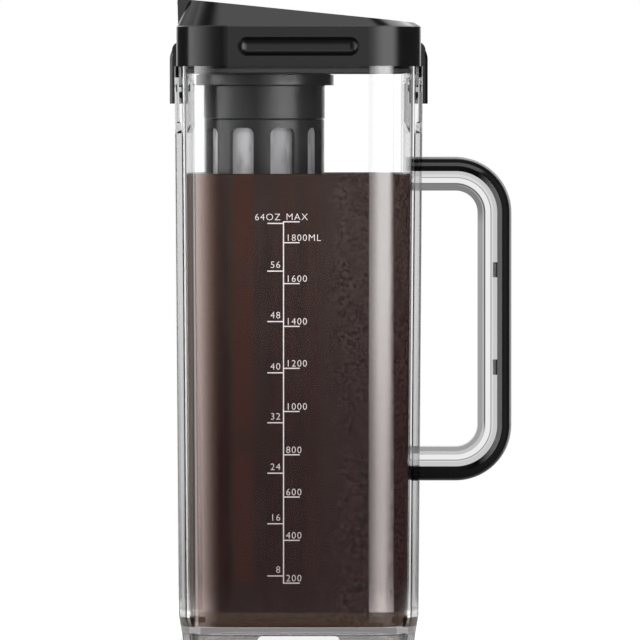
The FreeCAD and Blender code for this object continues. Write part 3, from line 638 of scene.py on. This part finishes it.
def body_tint(n, axes):
    """Clear walls, with painted shade: greys in the floor, the foot and the side walls, where a long way
    through them is seen, and at the right wall's inner face, outer edge and swelling.
    """
    rounded = n.ramp(past_corner(n, axes[1], axes[2]), *ROUNDED)
    return n.coats(
        CLEAR,
        *base_coats(n, axes, rounded),
        *right_wall_coats(n, axes),
        *wall_end_coats(n, axes, rounded),
    )


# -- tints of the handle's clear core
CORE_CLEAR = (0.98, 0.98, 0.985, 1)
CORE_OUTER = GRIP_T + CORE_EDGE            # inset of its flat's outer edge,
CORE_INNER = GRIP_T + CORE_T - CORE_BEVEL  # and of the inner one
# the flat's darkness is the core's tint; the bevels' greys and the lines are painted shade
CORE_DARK = 0.16               # how dark its flat is,
CORE_EDGE_DARK = 0.27          # what its outer bevel adds,
CORE_BEVEL_Z = (196.0, 206.0)  # and its inner one, below and above this
CORE_BEVEL_DARK = (0.51, 0.64)
OUTER_LINE = (CORE_OUTER + 0.1, CORE_OUTER + 0.7)
OUTER_LINE_DARK = 0.82
INNER_LINE = (CORE_INNER, CORE_INNER + 0.8)
INNER_LINE_Z = (95.0, 105.0)
INNER_LINE_DARK = (0.5, 1.0)


def core_tint(n, axes):
    """Clear core of the handle, with painted shade: greyer in its bevels, and a dark line at each edge of
    the flat on its front half.
    """
    _, y, z = axes
    inset = handle_inset(n, axes)
    outer_bevel = n.fall(inset, CORE_OUTER - SHARP, CORE_OUTER + SHARP)
    inner_bevel = n.ramp(inset, CORE_INNER - SHARP, CORE_INNER + SHARP)
    outer_line = n.window(inset, *OUTER_LINE, soft=SHARP)
    inner_line = n.window(inset, *INNER_LINE, soft=SHARP)
    bevels = n.plus(
        n.times(outer_bevel, CORE_EDGE_DARK),
        n.times(inner_bevel, n.ramp(z, *CORE_BEVEL_Z, *CORE_BEVEL_DARK)),
    )
    lines = n.most(
        n.times(outer_line, OUTER_LINE_DARK),
        n.times(inner_line, n.ramp(z, *INNER_LINE_Z, *INNER_LINE_DARK)),
    )
    in_front = n.fall(y, *MIDDLE)
    dark = n.most(n.plus(bevels, CORE_DARK), n.times(lines, in_front))
    return n.mix(dark, CORE_CLEAR, grey(0.02))


# -- steel
WAVES_ROUND = 260.0            # the gauze's waves, in radians for each radian round the filter,
WAVES_UP = 10.0                # and for each mm up
# the gauze darkens to the right in two steps: X from, X to, share before and after it
DARKENING_STEPS = ((-22.0, -11.0, 0.0, 0.42), (-2.0, 4.0, 0.0, 0.08))
WET_NOISE = (0.42, 0.75)


def steel(name):
    """Drawn steel, with fine lines along the pin."""
    material, n, shader = principled(name, Metallic=1.0, Roughness=0.28)
    lines = n.noise(n.stretched(n.place(), (1.0, 0.05, 1.0)), scale=2600.0)
    n.link(n.mix(lines, (0.42, 0.42, 0.43, 1), (0.66, 0.66, 0.67, 1)), shader.inputs["Base Color"])
    n.link(n.bump(lines, strength=0.2, distance=0.00002), shader.inputs["Normal"])
    return material


def gauze(name):
    """Fine woven gauze of rings and uprights round the filter's axis, with wet streaks."""
    material, n, shader = principled(name, Metallic=0.1, Roughness=0.5)
    x, y, z = n.axes()
    turn = n.math("ARCTAN2", y, n.minus(x, FILTER_X))
    uprights = n.size(n.math("SINE", n.times(turn, WAVES_ROUND)))
    rings = n.size(n.math("SINE", n.times(z, WAVES_UP)))
    weave = n.times(uprights, rings)
    wet = n.noise(n.stretched(n.place(), (1.0, 1.0, 0.25)), scale=260.0, detail=3.0)
    darkening = n.plus(*(n.ramp(x, *step) for step in DARKENING_STEPS))
    colour = n.coats(
        n.mix(weave, rgb(225, 225, 227), rgb(250, 250, 252)),
        (n.ramp(wet, *WET_NOISE), rgb(190, 189, 190)),
        (darkening, grey(0.02)),
    )
    n.link(colour, shader.inputs["Base Color"])
    n.link(n.bump(weave, strength=0.6, distance=0.0001), shader.inputs["Normal"])
    return material


# -- the coffee; its corner lines are the pitcher's edges and lights as they show in it
# X of both sides of each column of windows, and how strongly it shows
GLOW_COLUMNS = ((-41.0, -37.6, 0.35), (-30.3, -21.2, 1.0), (-10.9, -2.3, 0.3), (1.8, 10.5, 0.22))
GLOW_HOOPS = ((92.0, 104.0), (168.5, 180.5))
HOOP_DARK = 0.45
GLOW_FOOT = (27.0, 34.0)
GLOW_Z = (40.0, 225.0)
GLOW_SHARE = (0.75, 1.1)
COFFEE_RISE = (85.0, 205.0)    # Z: from the lower colours to the upper ones
COFFEE_LOW = (rgb(42, 28, 26), rgb(47, 32, 30))
COFFEE_HIGH = (rgb(53, 41, 38), rgb(59, 47, 44))
GLOW_COLOURS = (rgb(57, 32, 28), rgb(66, 42, 35))
BROWN_TOP = (16.5, 17.1)       # Z: the brown band at the coffee's foot, painted light where it shows through the walls' turn
BROWN = (rgb(74, 57, 47), rgb(64, 47, 39))
LIGHTER_X = (2.0, 22.0)        # painted light: lighter towards the right
LIGHTER_SHARE = (0.0, 0.035)
LIGHTER_LEAST = 0.6            # part of that share that is left at the foot
PIPED_X = (-49.6, -47.4)       # painted light: pale edge at the far left
PIPED_SHARE = (0.9, 0.0)
TAIL_START = (-47.6, -46.6)    # brown light that fades inwards beside it
TAIL_END = (-42.0, -36.0)
TAIL_Z = (60.0, 200.0)
TAIL_SHARE = (0.55, 1.0)
GLINT_START = (-47.75, -47.45)  # thin bright line in it: X of its two edges at the foot,
GLINT_END = (-46.7, -46.1)
GLINT_LEANS = (0.0052, 0.0082)  # and how far each moves out for each mm up
GLINT_Z = (60.0, 210.0)
GLINT_COLOURS = (rgb(186, 174, 171), rgb(216, 206, 204))
GLEAM_X = (41.7, 43.9)         # soft line near the right side
GLEAM_Z = (160.0, 215.0)
GLEAM_SHARE = (0.95, 0.5)
BEADED_X = (10.0, 22.0)        # droplets on the wall from here to the right
BEADED_SHARE = (0.1, 1.0)
SPECK_NOISE = (0.42, 0.58)
SPECK_LIGHT = (0.58, 1.36)     # how a speck dims or lifts the coffee's colour
PATCH_NOISE = (0.36, 0.6)
PATCH_SHARE = (0.35, 1.0)
STREAK_NOISE = (0.3, 0.7)
BAND_MOTTLE_NOISE = (0.35, 0.7)


def window_glow(n, x, z):
    """Painted light: where the filter's windows let light through the coffee it shows red, with painted
    shade behind the cage's hoops.
    """
    columns = [n.times(n.window(x, low, high, soft=1.6), share) for low, high, share in GLOW_COLUMNS]
    hoops = n.most(*(n.window(z, low, high, soft=1.5) for low, high in GLOW_HOOPS))
    rows = n.times(n.minus(1.0, n.times(hoops, HOOP_DARK)), n.ramp(z, *GLOW_FOOT))
    return n.times(n.plus(*columns), rows, n.ramp(z, *GLOW_Z, *GLOW_SHARE))


def corner_coats(n, axes):
    """Upright lines of light in the coffee's two front corners."""
    x, y, z = axes
    corner = n.fall(y, *FRONT_CORNER)
    tail = n.times(
        n.ramp(x, *TAIL_START),
        n.fall(x, *TAIL_END),
        corner,
        n.ramp(z, *TAIL_Z, *TAIL_SHARE),
    )
    start, end = (n.plus(x, n.times(z, lean)) for lean in GLINT_LEANS)
    glint = n.times(n.ramp(start, *GLINT_START), n.fall(end, *GLINT_END), corner)
    gleam = n.times(
        n.window(x, *GLEAM_X, soft=0.5),
        n.times(corner, n.ramp(z, *BROWN_TOP)),
        n.ramp(z, *GLEAM_Z, *GLEAM_SHARE),
    )
    return (
        (n.times(n.ramp(x, *PIPED_X, *PIPED_SHARE), corner), rgb(123, 110, 104)),
        (tail, rgb(86, 65, 56)),
        (glint, n.mix(n.ramp(z, *GLINT_Z), *GLINT_COLOURS)),
        (gleam, rgb(118, 106, 105)),
    )


def beads(n, place, x):
    """Light and dark specks of droplets, in patches."""
    fine = n.noise(place, scale=560.0, detail=3.0, roughness=0.6)
    specks = n.ramp(fine, *SPECK_NOISE, *SPECK_LIGHT)
    patches = n.ramp(n.noise(place, scale=160.0), *PATCH_NOISE, *PATCH_SHARE)
    return n.mix(n.times(n.ramp(x, *BEADED_X, *BEADED_SHARE), patches), WHITE, specks)


def coffee_look(name):
    """Dark coffee, with painted light: redder where the filter's windows let light through it, lighter
    towards the right and a lighter brown at its foot; beaded at the right, with lines of light in its
    front corners."""
    material, n, shader = principled(name, Roughness=0.1, IOR=1.2)
    place, axes = n.place(), n.axes()
    x, _, z = axes
    height = n.ramp(z, *COFFEE_RISE)
    upright = n.noise(n.stretched(place, (1.0, 1.0, 0.16)), scale=300.0, detail=4.0, roughness=0.6)
    streaks = n.ramp(upright, *STREAK_NOISE)
    # mottle of the brown band at the foot, which is painted light
    level = n.noise(n.stretched(place, (1.0, 1.0, 3.0)), scale=240.0, detail=3.0)
    band_mottle = n.ramp(level, *BAND_MOTTLE_NOISE)
    # painted light: the coffee is lighter towards the right
    lighter = n.times(n.ramp(x, *LIGHTER_X, *LIGHTER_SHARE), n.most(height, LIGHTER_LEAST))
    body = n.coats(
        n.mix(height, n.mix(streaks, *COFFEE_LOW), n.mix(streaks, *COFFEE_HIGH)),
        (lighter, rgb(150, 130, 126)),
        (window_glow(n, x, z), n.mix(height, *GLOW_COLOURS)),
        (n.fall(z, *BROWN_TOP), n.mix(band_mottle, *BROWN)),
        *corner_coats(n, axes),
    )
    n.link(n.mix(1.0, body, beads(n, place, x), "MULTIPLY"), shader.inputs["Base Color"])
    return material


# -- the printed scale
PRINT_Z = (30.0, 190.0)        # the print is lighter upwards
PRINT_LOW = (rgb(204, 193, 191), rgb(186, 175, 173))
PRINT_HIGH = (rgb(238, 230, 228), rgb(218, 208, 206))
WEAR_NOISE = (0.35, 0.7)


def print_look(name):
    """White print, with small patches of wear and a duller foot."""
    material, n, shader = principled(name, Roughness=0.55)
    wear = n.ramp(n.noise(n.place(), scale=900.0, detail=3.0, roughness=0.6), *WEAR_NOISE)
    print_rise = n.ramp(n.axes()[2], *PRINT_Z)
    colour = n.mix(print_rise, n.mix(wear, *PRINT_LOW), n.mix(wear, *PRINT_HIGH))
    n.link(colour, shader.inputs["Base Color"])
    return material


LOOKS = {
    "clear": clear_plastic("clear_copolyester", body_tint, ior=1.1, waves=0.00003, absorbed=5.0,
                           film=corner_film),
    "clear_handle": clear_plastic("clear_handle", core_tint, ior=1.06, waves=0.00004, absorbed=4.0),
    "lid": moulded("lid_black", (0.0045, 0.0045, 0.0047, 1), (0.0065, 0.0065, 0.0067, 1),
                   roughness=0.17, grain=2200.0, depth=0.00003, dull=lid_dull_and_shade),
    "latch": moulded("latch_black", (0.004, 0.004, 0.0042, 1), (0.006, 0.006, 0.0062, 1),
                     roughness=0.16, grain=2200.0, depth=0.00002),
    "grip": grip_look("grip_black"),
    "filter": moulded("filter_black", (0.024, 0.024, 0.025, 1), (0.034, 0.034, 0.035, 1),
                      roughness=0.22, grain=1800.0, depth=0.00001, dull=collar_shade),
    "silicone": moulded("silicone_black", (0.035, 0.035, 0.037, 1), (0.045, 0.045, 0.047, 1),
                        roughness=0.4, grain=1500.0, depth=0.00003, specular=0.4),
    "pin": steel("pin_steel"),
    "gauze": gauze("mesh_steel"),
    "coffee": coffee_look("coffee"),
    "print": print_look("scale_print"),
}

DRESS = {
    "clear": ("pitcher_body",),
    "clear_handle": ("handle_core",),
    "grip": ("handle_grip",),
    "lid": ("lid_band", "lid_plug", "lid_cover", "pour_flap"),
    "latch": ("latch_left", "latch_right"),
    "silicone": ("lid_gasket", "flap_seal", "holder_seal"),
    "pin": ("latch_pin_left", "latch_pin_right", "flap_pin"),
    "filter": ("filter_holder", "filter_frame", "filter_base"),
    "gauze": ("filter_mesh",),
}
for look_name, node_names in DRESS.items():
    for node_name in node_names:
        node_mesh = NODES[node_name].data
        node_mesh.materials.clear()
        node_mesh.materials.append(LOOKS[look_name])


# ---- pieces that CAD doesn't have -----------------------------------------------------------------
def add_object(name, data):
    """A mesh, curve or camera as an object in the scene."""
    obj = bpy.data.objects.new(name, data)
    bpy.context.scene.collection.objects.link(obj)
    return obj


def finished_mesh(name, bm):
    """The mesh of a bmesh, which is freed."""
    mesh = bpy.data.meshes.new(name)
    bm.to_mesh(mesh)
    bm.free()
    return mesh


def add_piece(name, bm, look, body):
    """A piece of closed forms. It rides on a CAD body and takes its finish from the script's looks."""
    bmesh.ops.recalc_face_normals(bm, faces=bm.faces)
    mesh = finished_mesh(name, bm)
    mesh.materials.append(LOOKS[look])
    obj = add_object(name, mesh)
    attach(obj, body)


def join_loops(bm, lower, upper):
    """A belt of faces between two closed loops of points."""
    count = len(lower)
    for i in range(count):
        j = (i + 1) % count
        bm.faces.new((lower[i], lower[j], upper[j], upper[i]))


# -- the coffee
COFFEE_EDGE = 0.5              # radius of its lower edge
EDGE_STEPS = (0, 30, 60, 90)   # degrees round that edge
RING_LEVELS = (FLOOR_Z + 1.6, HEEL_Z - 0.4, HEEL_Z + 0.4, HEEL_Z + 3, COFFEE_Z - 3, COFFEE_Z - 0.4)
MENISCUS = ((0.0, 0.9), (0.5, 0.35), (1.4, 0.0))  # in from the coffee's side, up from its level
CORNER_STEPS = 14


def rounded_ring(half, radius, z):
    """Points of a level rounded square, in metres."""
    points = []
    centre = half - radius
    for quarter, (sx, sy) in enumerate(((1, 1), (-1, 1), (-1, -1), (1, -1))):
        for i in range(CORNER_STEPS + 1):
            angle = math.radians(90 * (quarter + i / CORNER_STEPS))
            points.append(Vector(((sx * centre + radius * math.cos(angle)) * MM,
                                  (sy * centre + radius * math.sin(angle)) * MM, z * MM)))
    return points


def coffee_half(z):
    """Half the coffee's width at a height."""
    return outer_half(z) - WALL - COFFEE_GAP


def coffee_rings():
    """Half width and height of each ring of the coffee's side, from its foot to the meniscus."""
    rings = []
    for lift in EDGE_STEPS:
        turn = math.radians(lift)
        z = FLOOR_Z + FLOOR_GAP + COFFEE_EDGE * (1 - math.cos(turn))
        rings.append((coffee_half(z) - COFFEE_EDGE * (1 - math.sin(turn)), z))
    rings += [(coffee_half(z), z) for z in RING_LEVELS]
    rings += [(coffee_half(COFFEE_Z) - inward, COFFEE_Z + up) for inward, up in MENISCUS]
    return rings


def make_coffee():
    """The coffee, with a round lower edge and a small meniscus at the wall."""
    bm = bmesh.new()
    loops = []
    for half, z in coffee_rings():
        radius = CORNER_R - (outer_half(z) - half)
        loops.append([bm.verts.new(point) for point in rounded_ring(half, radius, z)])
    for lower, upper in zip(loops, loops[1:]):
        join_loops(bm, lower, upper)
    bm.faces.new(list(reversed(loops[0])))
    bm.faces.new(loops[-1])
    for face in bm.faces:
        face.smooth = len(face.verts) == 4
    add_piece("coffee", bm, "coffee", "pitcher")


# -- the printed scale: each mark is a figure and the row of its tick in the frame
LEFT_MARKS = (("64OZ", 223.4), ("56", 271.1), ("48", 321.6), ("40", 372.9), ("32", 422.9),
              ("24", 473.4), ("16", 524.1), ("8", 576.4))
RIGHT_MARKS = (("MAX", 221.8), ("1800ML", 242.7), ("1600", 283.6), ("1400", 326.4), ("1200", 368.4),
               ("1000", 411.6), ("800", 455.0), ("600", 497.3), ("400", 540.7), ("200", 583.6))
LINE_COLUMN = 283.5            # the upright line in the frame
TICK_COLUMNS = 16.15           # length of a tick, from the line's middle
LINE_W = 0.5
PRINT_OFF = 0.03               # gap between wall and print
PRINT_T = 0.04
FIGURE_SIZE = 4.5
FIGURE_THIN = -0.05            # thins a figure's strokes
FIGURE_SPACING = 1.15
FIGURE_STEPS = 3               # steps of each curve of a figure
# the scale's two sides: which way they lie, their marks, and how far their figures start from the
# line (columns of the frame) and above their ticks
SCALE_SIDES = ((-1, LEFT_MARKS, 2.9, 1.45), (1, RIGHT_MARKS, 2.3, 0.8))
BAR_FACES = ((3, 2, 1, 0), (4, 5, 6, 7), (0, 1, 5, 4), (1, 2, 6, 5), (2, 3, 7, 6), (3, 0, 4, 7))


def on_wall(x, z, off):
    """A place on the front wall, off its surface, in metres."""
    return Vector((x, -outer_half(z) - off, z)) * MM


def bar(bm, x0, x1, z0, z1):
    """Thin printed bar on the front wall."""
    outline = ((x0, z0), (x1, z0), (x1, z1), (x0, z1))
    layers = (PRINT_OFF, PRINT_OFF + PRINT_T)
    verts = [bm.verts.new(on_wall(x, z, off)) for off in layers for x, z in outline]
    for corners in BAR_FACES:
        bm.faces.new([verts[i] for i in corners])


def make_scale_lines():
    """The upright line and its ticks to both sides."""
    bm = bmesh.new()
    half = LINE_W / 2
    x, top = front_place(LINE_COLUMN, RIGHT_MARKS[0][1])
    _, foot = front_place(LINE_COLUMN, RIGHT_MARKS[-1][1])
    bar(bm, x - half, x + half, foot - half, top + half)
    for side, marks, _, _ in SCALE_SIDES:
        for _, row in marks:
            tip, z = front_place(LINE_COLUMN + side * TICK_COLUMNS, row)
            bar(bm, *sorted((x + side * half, tip)), z - half, z + half)
    add_piece("scale_lines", bm, "print", "pitcher")


def figure_mesh(text, align):
    """Mesh of one figure in mm, with its width along X, its height along Y and its thickness along Z."""
    curve = bpy.data.curves.new("figure", "FONT")
    curve.body = text
    curve.size = FIGURE_SIZE
    curve.align_x = align
    curve.space_character = FIGURE_SPACING
    curve.offset = FIGURE_THIN
    curve.extrude = PRINT_T / 2
    curve.resolution_u = FIGURE_STEPS
    holder = add_object("figure", curve)
    bpy.context.view_layer.update()
    mesh = bpy.data.meshes.new_from_object(holder.evaluated_get(bpy.context.evaluated_depsgraph_get()))
    bpy.data.objects.remove(holder)
    bpy.data.curves.remove(curve)
    return mesh


def make_scale_figures():
    """The figures of both sides, laid on the front wall."""
    bm = bmesh.new()
    for side, marks, columns, lift in SCALE_SIDES:
        for text, row in marks:
            mesh = figure_mesh(text, "RIGHT" if side < 0 else "LEFT")
            x, z = front_place(LINE_COLUMN + side * columns, row)
            for vertex in mesh.vertices:
                across, up, depth = vertex.co
                vertex.co = on_wall(x + across, z + lift + up, PRINT_OFF + PRINT_T / 2 + depth)
            bm.from_mesh(mesh)
            bpy.data.meshes.remove(mesh)
    add_piece("scale_figures", bm, "print", "pitcher")


# -- the seam between the filter's sleeve and its basket, with a dark ring as painted shade in it
SEAM_Z = 247.22
SEAM_T = 0.1
SEAM_R = (24.6, 28.2)
SEAM_STEPS = 96


def make_seam_shade():
    """Thin dark ring in the seam: painted shade, in the filter's black."""
    bm = bmesh.new()
    inner, outer = SEAM_R
    low, high = SEAM_Z - SEAM_T / 2, SEAM_Z + SEAM_T / 2
    angles = [math.tau * i / SEAM_STEPS for i in range(SEAM_STEPS)]
    loops = []
    for radius, z in ((inner, low), (outer, low), (outer, high), (inner, high)):
        loops.append([bm.verts.new(Vector((FILTER_X + radius * math.cos(angle),
                                           radius * math.sin(angle), z)) * MM) for angle in angles])
    for loop, following in zip(loops, loops[1:] + loops[:1]):
        join_loops(bm, loop, following)
    add_piece("seam_shade", bm, "filter", "filter_basket")


make_coffee()
make_seam_shade()
make_scale_lines()
make_scale_figures()


# ---- floor, light and camera ----------------------------------------------------------------------
FLOOR_RADIUS = 1.4             # metres
FLOOR_STEPS = 96
FLOOR_GREYS = (grey(0.80), grey(0.82))
FLOOR_FADE = (120.0, 550.0)    # from the object's middle: it fades into the background
UNDER_EDGE = (50.0, 52.0)      # painted light under the pitcher and round it: how white the floor glows to the camera and through clear plastic
UNDER_GLOW = (0.85, 0.4)       # how white the floor shows to the camera and through clear plastic


def make_floor():
    """Pale table that fades into the background, with a painted glow under the pitcher."""
    bm = bmesh.new()
    bmesh.ops.create_circle(bm, cap_ends=True, segments=FLOOR_STEPS, radius=FLOOR_RADIUS)
    mesh = finished_mesh("floor", bm)
    material, n, shader = principled("floor", Roughness=0.9, Specular_IOR_Level=0.0, Emission_Color=WHITE)
    x, y, _ = n.axes()
    grain = n.noise(n.place(), scale=400.0)
    n.link(n.mix(grain, *FLOOR_GREYS), shader.inputs["Base Color"])
    path = n.add("ShaderNodeLightPath")
    seen = n.most(path.outputs["Is Camera Ray"], path.outputs["Is Transmission Ray"])
    # painted light: the floor glows whiter under the pitcher than round it
    under = n.ramp(n.most(n.size(x), n.size(y)), *UNDER_EDGE, *UNDER_GLOW)
    n.link(n.times(seen, under), shader.inputs["Emission Strength"])
    clear = n.add("ShaderNodeBsdfTransparent")
    n.show(n.mix_shaders(n.ramp(n.length(x, y), *FLOOR_FADE), shader.outputs[0], clear.outputs[0]))
    mesh.materials.append(material)
    floor = add_object("floor", mesh)


# The studio, in degrees. A bearing is 0 behind the camera and grows to the right; a rise is 0 level and
# grows upwards. Two strengths are those at the two ends of a stretch.
UPRIGHT_RISE = (-38.0, 36.0)   # foot and top of the upright lights
RIGHT_START = (-2.0, 36.0)     # soft box at the right
RIGHT_END = (52.0, 72.0)
RIGHT_LIGHT = (0.0, 2.7)
EVEN_START = (-12.0, -1.0)     # even light from behind the camera to that box
EVEN_LIGHT = (0.0, 0.62)
LEFT_START = (-101.0, -97.0)   # soft box at the left, which fades towards the camera
LEFT_FADE = (-96.0, -24.0)
LEFT_LIGHT = (2.5, 0.12)
LEFT_END = (-24.0, -12.0)
TOP_RISE = (33.0, 45.0)        # light from above, on the camera's side
TOP_LIGHT = (0.0, 1.75)
TOP_END = (22.0, 58.0)
BACK_LEFT_RISE = (10.0, 26.0)
BACK_LEFT_LIGHT = (0.0, 0.8)
BACK_LEFT_END = (-108.0, -90.0)
BACK_RIGHT_RISE = (22.0, 34.0)
BACK_RIGHT_LIGHT = (0.0, 3.0)
BACK_RIGHT_START = (100.0, 126.0)
BEHIND = (150.0, 160.0)        # weak light from behind the object
BEHIND_LIGHT = (0.0, 0.85)
ROOM_LIGHT = 0.05
WHITE_START = (96.0, 104.0)    # white background, as it shows through clear plastic
WHITE_BEARING = (142.0, 158.0)
WHITE_LIGHT = (0.08, 1.1)
WHITE_RISE = (20.0, 60.0)
WHITE_RISE_SHARE = (1.0, 0.45)


def studio_light(n, bearing, rise):
    """The light that falls on the object, by direction."""
    turned = n.size(bearing)
    right_end = n.fall(bearing, *RIGHT_END)
    right = n.times(n.ramp(bearing, *RIGHT_START, *RIGHT_LIGHT), right_end)
    left = n.times(
        n.ramp(bearing, *LEFT_START),
        n.ramp(bearing, *LEFT_FADE, *LEFT_LIGHT),
        n.fall(bearing, *LEFT_END),
    )
    even = n.times(n.ramp(bearing, *EVEN_START, *EVEN_LIGHT), right_end)
    return n.plus(
        n.times(n.plus(right, left, even), n.window(rise, *UPRIGHT_RISE, soft=7.0)),
        n.times(n.ramp(rise, *TOP_RISE, *TOP_LIGHT), n.fall(turned, *TOP_END)),
        n.times(n.ramp(rise, *BACK_LEFT_RISE, *BACK_LEFT_LIGHT), n.fall(bearing, *BACK_LEFT_END)),
        n.times(n.ramp(rise, *BACK_RIGHT_RISE, *BACK_RIGHT_LIGHT), n.ramp(bearing, *BACK_RIGHT_START)),
        n.ramp(turned, *BEHIND, *BEHIND_LIGHT),
        ROOM_LIGHT,
    )


def make_world():
    """Studio: a tall soft box right of the lens, a fading one at the left, a top light, white behind."""
    world = bpy.data.worlds.new("studio")
    bpy.context.scene.world = world
    world.use_nodes = True
    n = Nodes(world.node_tree, "ShaderNodeOutputWorld")
    x, y, z = n.coordinates("Generated")[1]
    bearing = n.math("DEGREES", n.math("ARCTAN2", x, n.times(y, -1.0)))
    rise = n.math("DEGREES", n.math("ARCSINE", z))
    light = studio_light(n, bearing, rise)
    turned = n.size(bearing)
    white = n.times(
        n.ramp(turned, *WHITE_BEARING, *WHITE_LIGHT),
        n.ramp(n.size(rise), *WHITE_RISE, *WHITE_RISE_SHARE),
        n.ramp(turned, *WHITE_START),
    )
    path = n.add("ShaderNodeLightPath")
    through_clear = n.between(path.outputs["Is Transmission Ray"], light, n.most(white, light))
    background = n.add("ShaderNodeBackground")
    background.inputs["Color"].default_value = WHITE
    n.link(n.between(path.outputs["Is Camera Ray"], through_clear, 1.0), background.inputs["Strength"])
    n.show(background.outputs[0])


def make_camera():
    """Camera at the photograph's viewing angle, aimed a little right of the pitcher's middle."""
    data = bpy.data.cameras.new("camera")
    camera = add_object("camera", data)
    place = Vector((AIM_X, -CAMERA_D, CAMERA_Z)) * MM
    aim = Vector((AIM_X, 0.0, AIM_Z)) * MM
    camera.location = place
    camera.rotation_euler = (aim - place).to_track_quat("-Z", "Y").to_euler()
    data.sensor_width = SENSOR
    data.lens = SENSOR * (aim - place).length / (FRAME_MM * MM)
    data.clip_end = CAMERA_END
    bpy.context.scene.camera = camera


make_floor()
make_world()
make_camera()
bpy.context.scene.view_settings.view_transform = "Standard"
